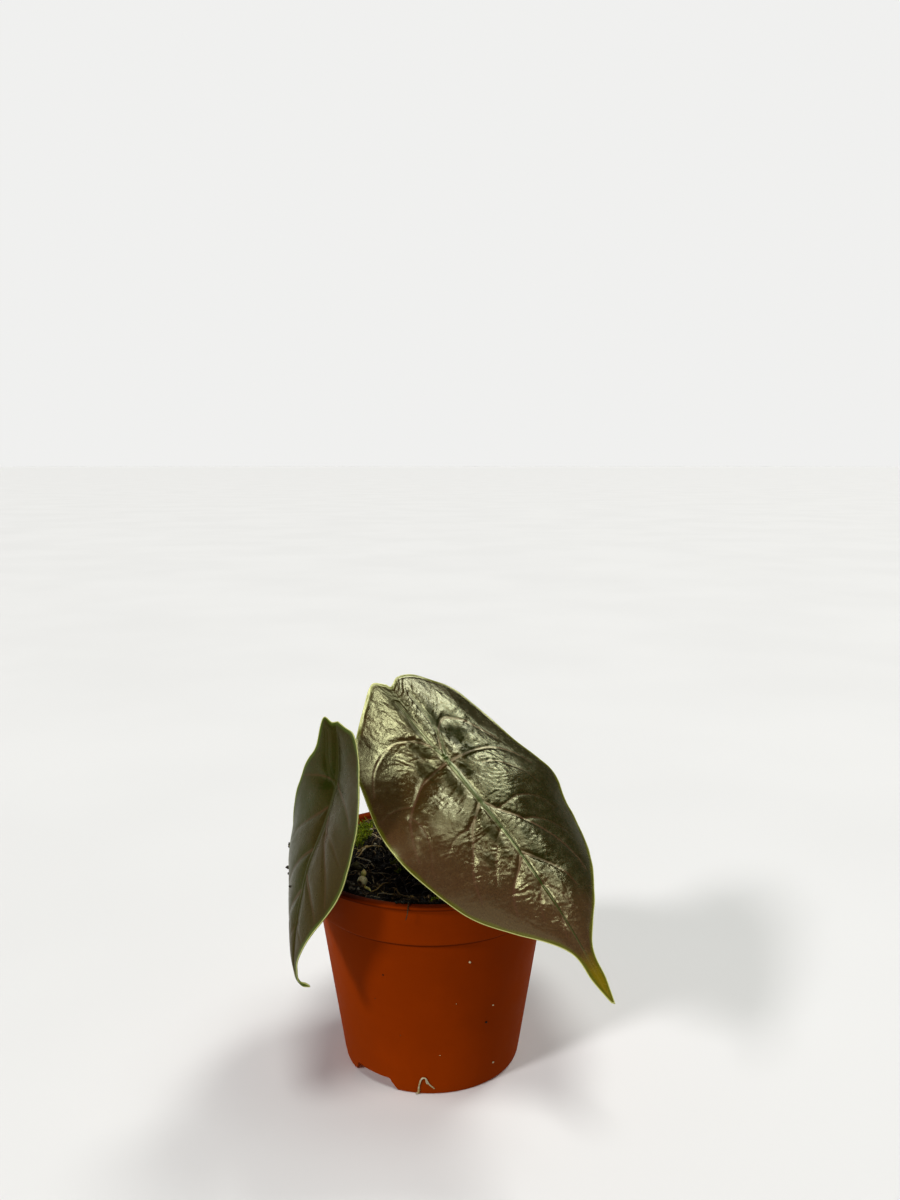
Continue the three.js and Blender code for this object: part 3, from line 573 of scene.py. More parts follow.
class Finish:
    """A material made of nodes, in mm coordinates, ending in one Principled shader."""

    def __init__(self, name, level=0.5, **values):
        self.material = bpy.data.materials.new(name)
        self.material.use_nodes = True
        self.tree = self.material.node_tree
        self.tree.nodes.clear()
        output = self.tree.nodes.new("ShaderNodeOutputMaterial")
        self.shader = self.tree.nodes.new("ShaderNodeBsdfPrincipled")
        self.tree.links.new(self.shader.outputs[0], output.inputs["Surface"])
        for key, value in dict(values, Specular_IOR_Level=level).items():
            self.set(self.shader.inputs[key.replace("_", " ")], value)
        place = self.tree.nodes.new("ShaderNodeTexCoord").outputs["Object"]
        to_mm = {0: place, "Scale": 1 / MM}
        self.place = self.node("ShaderNodeVectorMath", dict(operation="SCALE"), to_mm).outputs[0]

    def set(self, socket, value):
        if isinstance(value, bpy.types.NodeSocket):
            self.tree.links.new(value, socket)
        elif isinstance(value, tuple) and len(value) == 3 and socket.type == "RGBA":
            socket.default_value = (*value, 1)
        else:
            socket.default_value = value

    def node(self, kind, settings, inputs):
        node = self.tree.nodes.new(kind)
        for key, value in settings.items():
            setattr(node, key, value)
        for key, value in inputs.items():
            self.set(node.inputs[key], value)
        return node

    def noise(self, scale, detail=3.0, roughness=0.55, stretch=(1, 1, 1), distortion=0.0):
        place = self.place
        if stretch != (1, 1, 1):
            by = {0: place, 1: stretch}
            place = self.node("ShaderNodeVectorMath", dict(operation="MULTIPLY"), by).outputs[0]
        inputs = dict(Vector=place, Scale=scale, Detail=detail, Roughness=roughness, Distortion=distortion)
        return self.node("ShaderNodeTexNoise", {}, inputs).outputs["Fac"]

    def network(self, scale):
        """Distance from the walls of a net of cells."""
        inputs = dict(Vector=self.place, Scale=scale)
        return self.node("ShaderNodeTexVoronoi", dict(feature="DISTANCE_TO_EDGE"), inputs).outputs["Distance"]

    def mark(self, name):
        return self.node("ShaderNodeAttribute", dict(attribute_name=name), {}).outputs["Fac"]

    def math(self, operation, a, b=0.0):
        return self.node("ShaderNodeMath", dict(operation=operation), {0: a, 1: b}).outputs[0]

    def span(self, value, low, high, to_low=0.0, to_high=1.0):
        inputs = {"Value": value, "From Min": low, "From Max": high, "To Min": to_low, "To Max": to_high}
        return self.node(
            "ShaderNodeMapRange", dict(interpolation_type="SMOOTHSTEP"), inputs
        ).outputs["Result"]

    def uneven_tone(self, scale, by):
        """The mark tone, made uneven by a noise."""
        return self.math("ADD", self.mark("tone"), self.span(self.noise(scale, 4, 0.6), 0.25, 0.75, -by, by))

    def mix(self, factor, a, b):
        return self.node("ShaderNodeMix", dict(data_type="RGBA"), {0: factor, 6: a, 7: b}).outputs[2]

    def bump(self, height, depth, under=None):
        inputs = {"Height": height, "Distance": depth * MM, "Strength": 1.0}
        if under is not None:
            inputs["Normal"] = under
        return self.node("ShaderNodeBump", {}, inputs).outputs["Normal"]

    def finish(self, colour, roughness, normal=None):
        for key, value in (("Base Color", colour), ("Roughness", roughness), ("Normal", normal)):
            if value is not None:
                self.set(self.shader.inputs[key], value)
        return self.material

    def surface(self, colour, rough, relief):
        """Ends the material. Rough is a noise and its range, relief a noise and its depth in mm."""
        *coarse, low, high = rough
        *fine, depth = relief
        roughness = self.span(self.noise(*coarse), 0.3, 0.7, low, high)
        return self.finish(colour, roughness, self.bump(self.noise(*fine), depth))

def blade_upper(name, green, bronze, maroon_and_painted_reflection, vein, rib, edge, tip, rough, lean, shine, sheen):
    m = Finish(name, shine, IOR=1.5, Specular_Tint=sheen)
    broad = m.noise(0.045, 3, 0.5)
    patches = m.noise(0.16, 4, 0.6)
    side = m.math("MULTIPLY", m.mark("across"), lean)
    bronzed = m.span(m.math("ADD", m.math("ADD", side, broad), m.math("MULTIPLY", patches, 0.35)), 0.38, 0.95)
    colour = m.mix(bronzed, green, bronze)
    grainy = m.noise(2.6, 4, 0.7)
    # Towards the tip and to one side the blade turns maroon; on the large blade this colour is also lighter,
    # a painted reflection of the pale floor
    low = m.math("ADD", m.math("ADD", m.mark("station"), side), m.math("MULTIPLY", patches, 0.2))
    colour = m.mix(
        m.math("MULTIPLY", m.span(low, 0.6, 0.95), m.span(grainy, 0.3, 0.65, 0.35, 1.0)), colour, maroon_and_painted_reflection
    )
    # Pale bronze speckles: partly the blade's own speckled colour, partly painted sheen of its fine grain
    colour = m.mix(m.span(grainy, 0.42, 0.7, 0.0, 0.55), colour, tuple(c * 2.0 for c in bronze))
    network = m.network(0.85)
    colour = m.mix(m.span(network, 0.0, 0.12, 0.3, 0.0), colour, tuple(c * 0.55 for c in vein))
    colour = m.mix(m.math("MULTIPLY", m.mark("vein"), m.span(grainy, 0.2, 0.8, 0.6, 1.0)), colour, vein)
    colour = m.mix(m.mark("rib"), colour, rib)
    to_tip = m.span(m.math("ADD", m.mark("station"), m.math("MULTIPLY", patches, 0.05)), 0.9, 0.97)
    colour = m.mix(to_tip, colour, tip)
    wander = m.math("ADD", m.mark("rim"), m.span(patches, 0.3, 0.7, -0.25, 0.25))
    colour = m.mix(m.span(wander, 0.5, 1.5, 0.9, 0.0), colour, edge)
    colour = m.mix(m.span(m.mark("rim"), 0.12, 0.4, 1.0, 0.0), colour, (0.5, 0.5, 0.2))
    roughness = m.span(m.noise(0.5, 4, 0.65), 0.3, 0.7, rough - 0.04, rough + 0.06)
    roughness = m.math("ADD", roughness, m.span(m.mark("creased"), 0.1, 0.5, 0.05, 0.0))
    # Painted shade: in the hollow mark the gloss is dimmed and, near the midrib, the colour turns to the dark
    # green; the rib's gloss is dimmed a little too
    shaded = m.math(
        "MAXIMUM", m.span(m.mark("hollow"), 0.0, 0.9, 0.0, 0.85), m.math("MULTIPLY", m.mark("rib"), 0.4)
    )
    inner = m.span(m.math("ABSOLUTE", m.mark("across")), 11.0, 18.0, 0.5, 0.0)
    colour = m.mix(m.math("MULTIPLY", m.span(m.mark("hollow"), 0.1, 0.75), inner), colour, green)
    m.set(m.shader.inputs["Specular IOR Level"], m.math("MULTIPLY", m.math("SUBTRACT", 1.0, shaded), shine))
    ripple = m.math(
        "MULTIPLY", m.noise(1.5, 4, 0.6, distortion=0.5), m.span(m.mark("creased"), 0.1, 0.6, 0.2, 1.0)
    )
    fine = m.bump(ripple, 0.07)
    fine = m.bump(m.noise(5.0, 2, 0.5), 0.01, under=fine)
    return m.finish(colour, roughness, fine)


def blade_under(name, base, rib):
    m = Finish(name, IOR=1.45)
    colour = m.mix(m.span(m.noise(0.08, 4, 0.6), 0.3, 0.7), base, tuple(c * 1.7 for c in base))
    colour = m.mix(m.span(m.network(0.8), 0.0, 0.15, 0.5, 0.0), colour, tuple(c * 0.6 for c in rib))
    colour = m.mix(m.span(m.mark("ribs"), 0.05, 0.4), colour, rib)
    colour = m.mix(m.span(m.mark("station"), 0.9, 0.98), colour, (0.16, 0.15, 0.02))
    colour = m.mix(m.span(m.mark("rim"), 0.2, 1.4, 0.8, 0.0), colour, (0.15, 0.17, 0.05))
    return m.surface(colour, (1.2, 0.48, 0.62), (1.4, 4, 0.08))


def blade_edge(name, colour):
    m = Finish(name, IOR=1.45)
    mottled = m.mix(m.span(m.noise(0.7, 3), 0.35, 0.7), colour, tuple(c * 0.6 for c in colour))
    return m.surface(mottled, (2.0, 0.35, 0.5), (3.0, 0.03))


large_upper = blade_upper(
    "large_blade_upper",
    green=(0.012, 0.017, 0.002), bronze=(0.046, 0.026, 0.006), maroon_and_painted_reflection=(0.105, 0.056, 0.03),
    vein=(0.12, 0.055, 0.035), rib=(0.034, 0.05, 0.008), edge=(0.10, 0.10, 0.008), tip=(0.18, 0.13, 0.004),
    rough=0.19, lean=-0.012, shine=0.75, sheen=(1.0, 1.0, 0.62),
)
small_upper = blade_upper(
    "small_blade_upper",
    green=(0.018, 0.028, 0.003), bronze=(0.036, 0.024, 0.005), maroon_and_painted_reflection=(0.038, 0.022, 0.004),
    vein=(0.075, 0.034, 0.016), rib=(0.04, 0.04, 0.01), edge=(0.06, 0.09, 0.012), tip=(0.13, 0.12, 0.008),
    rough=0.3, lean=0.012, shine=0.32, sheen=(1.0, 1.0, 0.4),
)
large_under = blade_under("large_blade_under", (0.06, 0.022, 0.028), (0.20, 0.16, 0.08))
small_under = blade_under("small_blade_under", (0.055, 0.024, 0.026), (0.18, 0.15, 0.08))
pale_edge = blade_edge("blade_edge", (0.42, 0.44, 0.16))

blade("large_blade", LARGE_LEAF, 380, 200, large_upper, large_under, pale_edge, replaces="leaf_large")
blade("small_blade", SMALL_LEAF, 240, 130, small_upper, small_under, pale_edge, replaces="leaf_small")


def pot_plastic():
    m = Finish("pot_plastic", 0.1, IOR=1.2, Specular_Tint=(1.0, 0.42, 0.1))
    cloud = m.noise(0.03, 4, 0.6)
    colour = m.mix(m.span(cloud, 0.3, 0.7), (0.24, 0.037, 0.0005), (0.275, 0.043, 0.0007))
    colour = m.mix(m.span(m.noise(1.3, 5, 0.7), 0.5, 0.75, 0.0, 0.25), colour, (0.24, 0.03, 0.0006))
    upright = m.node("ShaderNodeSeparateXYZ", {}, {0: m.place}).outputs["Z"]
    # Dark lines along the lip and under the collar: height, reach and depth of each
    shadows = ((POT_HEIGHT, 0.7, 0.55), (POT_HEIGHT - 1.1, 0.9, 0.6), (COLLAR_FOOT_HEIGHT - 0.7, 0.75, 0.6))
    for height, reach, depth in shadows:
        off = m.math("ABSOLUTE", m.math("SUBTRACT", upright, height))
        colour = m.mix(m.span(off, 0.15 * reach, reach, depth, 0.0), colour, (0.05, 0.006, 0.0004))
    roughness = m.span(m.noise(0.12, 5, 0.65), 0.3, 0.7, 0.5, 0.62)
    flow = m.bump(m.noise(0.05, 3, 0.5, stretch=(1, 1, 0.35)), 0.6)
    skin = m.bump(m.noise(3.2, 3, 0.6), 0.02, under=flow)
    return m.finish(colour, roughness, skin)


def rounded(profile, reach, steps=3):
    """The profile with its corners rounded, each corner a (radius, height, reach) or the default reach."""
    out = [profile[0][:2]]
    for before, corner, after in zip(profile, profile[1:], profile[2:]):
        p, a, b = np.array(corner[:2]), np.array(before[:2]), np.array(after[:2])
        r = corner[2] if len(corner) > 2 else reach
        r = min(r, 0.45 * np.linalg.norm(a - p), 0.45 * np.linalg.norm(b - p))
        start, end = p + unit(a - p) * r, p + unit(b - p) * r
        for k in range(steps + 1):
            u = k / steps
            out.append(tuple((1 - u) ** 2 * start + 2 * u * (1 - u) * p + u * u * end))
    out.append(profile[-1][:2])
    return out


def wall_radius(z):
    return FOOT_RADIUS + (WALL_TOP_RADIUS - FOOT_RADIUS) / COLLAR_FOOT_HEIGHT * z


def lathed(profile, sides):
    """Points of a profile of (radius, height), turned round the pot's axis."""
    profile, angle = np.asarray(profile, float), turns(sides)
    x, y = profile[:, :1] * np.cos(angle), profile[:, :1] * np.sin(angle)
    return np.stack([x, y, np.repeat(profile[:, 1:], sides, 1)], -1)


def pot_body():
    rim_foot = POT_HEIGHT - 1.3
    inner = FOOT_RADIUS - FOOT_WIDTH
    outline = [
        (0.02, FLOOR_UNDERSIDE), (inner - 0.6, FLOOR_UNDERSIDE, 1.0), (inner + 0.1, 0.0, 0.35),
        (FOOT_RADIUS - 0.1, 0.0, 0.6), (wall_radius(3.0), 3.0), (wall_radius(28), 28),
        (WALL_TOP_RADIUS - 0.25, COLLAR_FOOT_HEIGHT - 1.2, 0.8),
        (WALL_TOP_RADIUS + 0.1, COLLAR_FOOT_HEIGHT - 0.35, 0.3),
        (COLLAR_FOOT_RADIUS - 0.1, COLLAR_FOOT_HEIGHT - 0.1, 0.6),
        (COLLAR_FOOT_RADIUS + 0.25, COLLAR_FOOT_HEIGHT + 1.2),
        (COLLAR_TOP_RADIUS, rim_foot - 0.35, 0.35), (RIM_RADIUS - 0.35, rim_foot - 0.1, 0.25),
        (RIM_RADIUS, rim_foot + 0.3, 0.3), (RIM_RADIUS - 0.1, POT_HEIGHT, 0.5),
        (COLLAR_TOP_RADIUS - 1, POT_HEIGHT, 0.5),
        (COLLAR_FOOT_RADIUS - WALL, COLLAR_FOOT_HEIGHT - 0.6, 0.8),
        (WALL_TOP_RADIUS - WALL, COLLAR_FOOT_HEIGHT - 1.1, 0.8),
        (wall_radius(FLOOR_TOP) - WALL, FLOOR_TOP, 1.0), (0.02, FLOOR_TOP),
    ]
    shell = Shell()
    profile = rounded(outline, 0.3)
    shell.add(lathed(profile, POT_SIDES), barrel(len(profile), POT_SIDES, flip=True))
    pot = shell.make("nursery_pot", pot_plastic(), replaces="pot", slot="pot_plastic")
    for cutter in [notch_cutter(a) for a in NOTCH_AZIMUTHS] + [drain_cutter(k) for k in range(DRAIN_COUNT)]:
        cut = pot.modifiers.new("cut", "BOOLEAN")
        cut.operation, cut.object, cut.solver = "DIFFERENCE", cutter, "EXACT"
        with bpy.context.temp_override(object=pot, active_object=pot, selected_objects=[pot]):
            bpy.ops.object.modifier_apply(modifier=cut.name)
        bpy.data.objects.remove(cutter)
    bm = bmesh.new()
    bm.from_mesh(pot.data)
    for edge in bm.edges:
        if len(edge.link_faces) == 2 and edge.calc_face_angle(0) > 0.7:
            edge.smooth = False
    bm.to_mesh(pot.data)
    bm.free()
    return pot


def heading(azimuth):
    """Direction on the ground: 0 degrees is the front, positive towards +X."""
    a = math.radians(azimuth)
    return np.array([math.sin(a), -math.cos(a), 0.0])


def cutter(name, near, far):
    """A solid between two outlines with as many points each."""
    bm = bmesh.new()
    made = [bm.verts.new(Vector((v * MM + AXIS).tolist())) for v in [*near, *far]]
    n = len(near)
    bm.faces.new(made[:n])
    bm.faces.new(made[n:][::-1])
    for k in range(n):
        after = (k + 1) % n
        bm.faces.new([made[after], made[k], made[n + k], made[n + after]])
    bmesh.ops.recalc_face_normals(bm, faces=bm.faces)
    mesh = bpy.data.meshes.new(name)
    bm.to_mesh(mesh)
    bm.free()
    piece = bpy.data.objects.new(name, mesh)
    bpy.context.scene.collection.objects.link(piece)
    return piece


def notch_cutter(azimuth):
    slant = (NOTCH_FOOT - NOTCH_TOP) / 2 / NOTCH_HEIGHT
    low, top, r = NOTCH_FOOT / 2 + slant, NOTCH_TOP / 2, 1.1
    outline = [(-low, -1.0), (low, -1.0)]
    for hand, first in ((1, 0), (-1, 90)):
        for k in range(5):
            a = math.radians(first + 90 * k / 4)
            outline.append((hand * (top - r) + r * math.cos(a), NOTCH_HEIGHT - r + r * math.sin(a)))
    out, side = heading(azimuth), heading(azimuth + 90)
    ends = ([out * reach + side * u + np.array([0, 0, z]) for u, z in outline]
            for reach in (FOOT_RADIUS - 9, FOOT_RADIUS + 5))
    return cutter("notch_cutter", *ends)


def drain_cutter(k):
    middle = heading(k * 360 / DRAIN_COUNT) * DRAIN_CIRCLE
    ends = ([middle + DRAIN_RADIUS * heading(a * 15) + np.array([0, 0, z]) for a in range(24)]
            for z in (FLOOR_UNDERSIDE - 1, FLOOR_TOP + 1))
    return cutter("drain_cutter", *ends)


pot_body()


GRANULE_PLACE = np.array([-21.6, -24.6])
GRANULE_RADIUS = 1.65
FLAKE_COUNT, FIBRE_COUNT, CRUMB_COUNT, SPILLED_COUNT = 1500, 950, 210, 26
peat_grain = Grain(5)
lump_places = np.random.RandomState(1).uniform(0.1, 0.9, (64, 64, 2))
lump_sizes = np.random.RandomState(2).uniform(0.35, 1, (64, 64))


def lumps(x, y, size):
    """Height 0 to 1 of rounded lumps of about this size that lie side by side."""
    x, y = x / size, y / size
    height = np.zeros(x.shape)
    for i in (-1, 0, 1):
        for j in (-1, 0, 1):
            a, b = np.floor(x).astype(int) + i, np.floor(y).astype(int) + j
            big, offset = lump_sizes[a % 64, b % 64], lump_places[a % 64, b % 64]
            dx, dy = a + offset[..., 0] - x, b + offset[..., 1] - y
            dome = np.sqrt(np.maximum(1 - (dx * dx + dy * dy) / (0.75 * big) ** 2, 0))
            height = np.maximum(height, big * dome)
    return height


def peat_height(x, y):
    """The low mound, level where the granule lies."""
    mound = SOIL_MOUND * np.cos(np.pi / 2 * np.minimum(np.hypot(x, y) / SOIL_RADIUS, 1))
    crumbs = (
        0.55 * np.sin(0.61 * x + 1.3) * np.sin(0.53 * y - 0.4)
        + 0.35 * np.sin(1.37 * x - 0.9 * y + 2.1)
        + 0.25 * np.sin(0.7 * x + 1.63 * y + 0.5)
    )
    away = smooth_step(np.hypot(x - GRANULE_PLACE[0], y - GRANULE_PLACE[1]), 2.2, 6.4)
    return SOIL_HEIGHT + mound + crumbs * away


def peat_surface(x, y):
    bend_x, bend_y = 0.9 * peat_grain(x * 0.5, y * 0.5), 0.9 * peat_grain(x * 0.5, y * 0.5, 9)
    height = peat_height(x, y) - 0.75 + 0.7 * peat_grain(x * 0.17, y * 0.17, 4)
    height += 1.0 * lumps(x + bend_x, y + bend_y, 3.4) + 0.55 * lumps(x + bend_y, y - bend_x, 1.7)
    height += 0.3 * np.abs(peat_grain(x * 1.7, y * 1.7, 2)) + 0.12 * peat_grain(x * 4, y * 4)
    spilled = np.exp(-(((x + 3) / 6.5) ** 2) - ((y + 40) / 3.2) ** 2)
    heaped = smooth_step(np.hypot(x, y), 34, 41) * smooth_step(-y, 5, 25)
    return height + 1.4 * spilled + 1.4 * heaped


LEVEL_REACH, LEVEL_STEP = 47, 0.25
level_places = np.arange(-LEVEL_REACH, LEVEL_REACH + LEVEL_STEP, LEVEL_STEP)
levels = peat_surface(*np.meshgrid(level_places, level_places, indexing="ij"))


def peat_level(x, y):
    """Height of the peat, read between the points of a fine grid laid over it."""
    u, v = ((np.clip(c, -LEVEL_REACH, LEVEL_REACH - 0.01) + LEVEL_REACH) / LEVEL_STEP for c in (x, y))
    i, j = np.floor(u).astype(int), np.floor(v).astype(int)
    u, v = u - i, v - j
    near = levels[i, j] * (1 - u) + levels[i + 1, j] * u
    far = levels[i, j + 1] * (1 - u) + levels[i + 1, j + 1] * u
    return near * (1 - v) + far * v


def peat_body():
    shell = Shell()
    sides, rings, edge = 520, 110, 41.35
    angle = turns(sides)
    reach = edge * (np.arange(1, rings + 1) / rings) ** 0.75
    x, y = reach[:, None] * np.cos(angle), reach[:, None] * np.sin(angle)
    top = np.stack([x, y, peat_surface(x, y)], -1)
    below = [
        (38.3, COLLAR_FOOT_HEIGHT), (37.0, COLLAR_FOOT_HEIGHT - 1),
        (wall_radius(FLOOR_TOP) - 1.6, FLOOR_TOP + 0.3),
    ]
    walls = [np.stack([r * np.cos(angle), r * np.sin(angle), np.full(sides, z)], -1) for r, z in below]
    shell.add(np.concatenate([top, walls]), barrel(rings + 3, sides))
    m = Finish("peat", 0.35)
    dark = m.mix(m.span(m.noise(0.9, 6, 0.7), 0.35, 0.7), (0.005, 0.0037, 0.0022), (0.024, 0.016, 0.009))
    fibres = m.noise(1.6, 4, 0.7, stretch=(1, 0.3, 1), distortion=1.5)
    dark = m.mix(m.span(fibres, 0.58, 0.72, 0.0, 0.7), dark, (0.06, 0.04, 0.022))
    dark = m.mix(m.span(m.noise(3.1, 2, 0.5), 0.66, 0.76, 0.0, 0.8), dark, (0.12, 0.1, 0.06))
    surface = m.surface(dark, (1.4, 4, 0.45, 0.95), (2.2, 6, 0.75, 0.5))
    shell.make("peat", surface, replaces="soil", slot="peat")


def pebble(shell, place, size, seed, squash, **marks):
    """A rough closed lump of a given radius."""
    rows, columns = 6, 9
    theta, phi = np.linspace(0, np.pi, rows + 1)[1:-1], turns(columns)
    ball = np.stack([
        np.outer(np.sin(theta), np.cos(phi)), np.outer(np.sin(theta), np.sin(phi)),
        np.outer(np.cos(theta), np.ones(columns)),
    ], -1).reshape(-1, 3)
    ball = np.vstack([ball, [(0, 0, 1), (0, 0, -1)]])
    rough = 1 + 0.35 * Grain(seed)(*(ball * 1.3 + 0.37 * seed).T)
    ball *= rough[:, None] * np.array([1, 1, squash]) * size
    last = (rows - 2) * columns
    faces = grid_faces(rows - 1, columns, wrap=True).tolist()
    for k in range(columns):
        faces.append([(k + 1) % columns, len(ball) - 2, k])
        faces.append([last + k, len(ball) - 1, last + (k + 1) % columns])
    shell.add(ball + np.asarray(place, float), faces, **marks)


def random_place(rng):
    """A place on the peat, clear of the crown and the granule."""
    reach, crown_clear, granule_clear = 40.5, 6.0, 2.4
    while True:
        x, y = rng.uniform(-reach, reach, 2)
        if np.hypot(x, y) < reach and np.hypot(x - CROWN_PLACE[0], y - CROWN_PLACE[1]) > crown_clear:
            if np.hypot(x - GRANULE_PLACE[0], y - GRANULE_PLACE[1]) > granule_clear:
                return x, y


def litter():
    """Flakes, bits of bark and short fibres that make up the top of the peat."""
    rng = np.random.RandomState(41)
    flakes, fibres = Shell(), Shell()

    def some_tone():
        """Mostly dark, at times brown, and now and then pale."""
        drawn = [rng.uniform(0, 0.3), rng.uniform(0.3, 0.6), rng.uniform(0.6, 1)]
        return float(rng.choice(drawn, p=[0.68, 0.24, 0.08]))

    for _ in range(FLAKE_COUNT):
        x, y = random_place(rng)
        count = rng.randint(5, 8)
        angle = np.sort(rng.uniform(0, 2 * np.pi, count))
        long = rng.uniform(0.35, 1.25) * rng.uniform(0.6, 1)
        outline = np.stack([long * np.cos(angle), long * rng.uniform(0.35, 0.8) * np.sin(angle)], -1)
        thick = rng.uniform(0.1, 0.35)
        turn, tilt = rng.uniform(0, 2 * np.pi), rng.uniform(0, 0.9)
        c, s, ct, st = math.cos(turn), math.sin(turn), math.cos(tilt), math.sin(tilt)
        axes = np.array([(c * ct, s * ct, st), (-s, c, 0), (-c * st, -s * st, ct)])
        flat = np.column_stack([np.tile(outline, (2, 1)), np.repeat([-thick, thick], count)])
        place = np.array([x, y, peat_level(x, y) + 0.3 * long * tilt])
        faces = [list(range(count))[::-1], [count + k for k in range(count)]]
        faces += [[k, (k + 1) % count, count + (k + 1) % count, count + k] for k in range(count)]
        flakes.add(flat @ axes + place, faces, tone=some_tone())
    for _ in range(FIBRE_COUNT):
        x, y = random_place(rng)
        length, turn, curl = rng.uniform(2, 8.5), rng.uniform(0, 2 * np.pi), rng.uniform(-0.35, 0.35)
        along = np.linspace(-0.5, 0.5, 8) * length
        heading_now = turn + curl * along + 0.25 * rng.normal(size=8)
        px = x + np.cumsum(np.cos(heading_now)) * length / 8
        py = y + np.cumsum(np.sin(heading_now)) * length / 8
        far = np.hypot(px, py) > 41
        px[far], py[far] = px[far] * 0.97, py[far] * 0.97
        pz = peat_level(px, py)
        pz = 0.5 * pz + 0.5 * pz.max() + rng.uniform(-0.1, 0.45) * np.cos(along / length * np.pi)
        radius = rng.uniform(0.07, 0.2) * (1 - 0.5 * np.abs(along / length))
        tube(fibres, np.column_stack([px, py, pz]), radius, 5, tone=min(some_tone() + 0.15, 1))
    m = Finish("litter", 0.4)
    tone = m.uneven_tone(1.1, 0.12)
    colour = m.mix(m.span(tone, 0.05, 0.4), (0.008, 0.006, 0.003), (0.055, 0.036, 0.016))
    colour = m.mix(m.span(tone, 0.35, 0.65), colour, (0.2, 0.135, 0.06))
    colour = m.mix(m.span(tone, 0.65, 0.95), colour, (0.5, 0.42, 0.26))
    surface = m.surface(colour, (2.0, 0.4, 0.8), (4.5, 4, 0.7, 0.12))
    flakes.make("flakes", surface, smooth=False, slot="peat")
    fibres.make("fibres", surface, slot="peat")


# Roots that lie on the peat: radius, tone, and x, y, lift of each bend
ROOTS = [
    (
        0.6, 0.62,
        [(-26.2, -1.4, -0.5), (-25.3, 2.4, 0.3), (-23.6, 5.2, 0.4), (-20.5, 8.5, 0.2), (-18, 11, -0.8)]
    ),
    (0.42, 0.8, [
        (-26.6, -4.6, -0.3), (-24.6, -2.8, 0.5), (-23.7, 0, 0.7), (-22.4, 2.4, 0.9), (-20.6, 4.2, 0.8),
        (-19.2, 5.2, 0.7), (-17.6, 6.6, 0.3), (-15.5, 6.0, -0.6),
    ]),
    (0.36, 1.0, [
        (-26.2, -3.1, 0), (-24.4, -4.7, 0.6), (-22.9, -6.2, 0.8), (-21.0, -8.7, 0.7), (-19.2, -10.8, 0),
        (-18, -12, -0.8)
    ]),
    (0.26, 1.0, [(-24.4, -8.2, -0.2), (-22.2, -10.6, 0.6), (-20.5, -13.0, 0.5), (-19.5, -14.4, -0.4)]),
    (
        0.22, 0.9,
        [(-20.5, -16.2, 0.2), (-17.6, -16.8, 0.8), (-15.4, -17.5, 0.7), (-12.9, -18.9, 0), (-11, -20, -0.6)]
    ),
    (0.36, 0.72, [
        (-19.4, -29.2, -0.3), (-16.6, -27.6, 0.6), (-14.9, -25.7, 0.8), (-13.6, -23, 0.3), (-12.5, -21, -0.6)
    ]),
    (
        0.3, 0.8,
        [(-15.6, -27.4, -0.3), (-14.6, -30.2, 0.7), (-13.4, -31.9, 0.7), (-10.6, -32.7, 0.2), (-9, -33, -0.5)]
    ),
    (0.48, 0.75, [
        (-13.2, -27.2, -0.3), (-11.6, -28.4, 0.7), (-10.4, -30.4, 0.8), (-9.5, -32.3, 0.7),
        (-7.1, -34.2, 0.8),
        (-4.6, -35.8, 0.7), (-2.7, -34.4, 0.5), (-0.6, -33.6, 0), (1.2, -33, -0.7),
    ]),
    (0.2, 0.35, [
        (-9.4, -19.6, -0.2), (-8.7, -22.6, 0.8), (-7.7, -27.2, 0.9), (-7.0, -31.6, 0.9), (-6.6, -35.4, 0.8),
        (-6.5, -38.4, 0.6)
    ]),
    (0.5, 0.6, [(8, 20, -0.6), (12, 18, 0.5), (18, 17, 0.6), (23, 18.2, 0.4), (27, 20, -0.5)]),
    (0.6, 0.6, [(14, -18, -0.6), (18, -15.5, 0.5), (22, -12, 0.6), (24.2, -7, 0.5), (25, -2, -0.5)]),
    (0.4, 0.7, [(-10, 24, -0.6), (-5, 27, 0.5), (1, 27.5, 0.6), (6, 31, 0.3), (9, 34, -0.5)]),
    (0.35, 0.8, [(10, -30, -0.5), (15, -27, 0.6), (19, -26, 0.5), (25, -22, -0.4)]),
]


def root_path(bends, count):
    x, y, lift = curve(bends, count).T
    bed = peat_level(x, y)
    steady = np.convolve(np.pad(bed, 4, mode="edge"), np.ones(9) / 9, "valid")
    return np.column_stack([x, y, np.maximum(steady, bed - 0.3) + lift])


def root_finish(name):
    m = Finish(name, 0.4)
    tone = m.uneven_tone(0.5, 0.25)
    colour = m.mix(m.span(tone, 0.3, 0.75), (0.04, 0.024, 0.008), (0.34, 0.235, 0.075))
    colour = m.mix(m.span(tone, 0.8, 1.1), colour, (0.5, 0.46, 0.33))
    colour = m.mix(m.span(m.noise(2.6, 3), 0.55, 0.75, 0.0, 0.6), colour, (0.06, 0.035, 0.018))
    return m.surface(colour, (1.0, 0.45, 0.7), (2.4, 4, 0.7, 0.15))


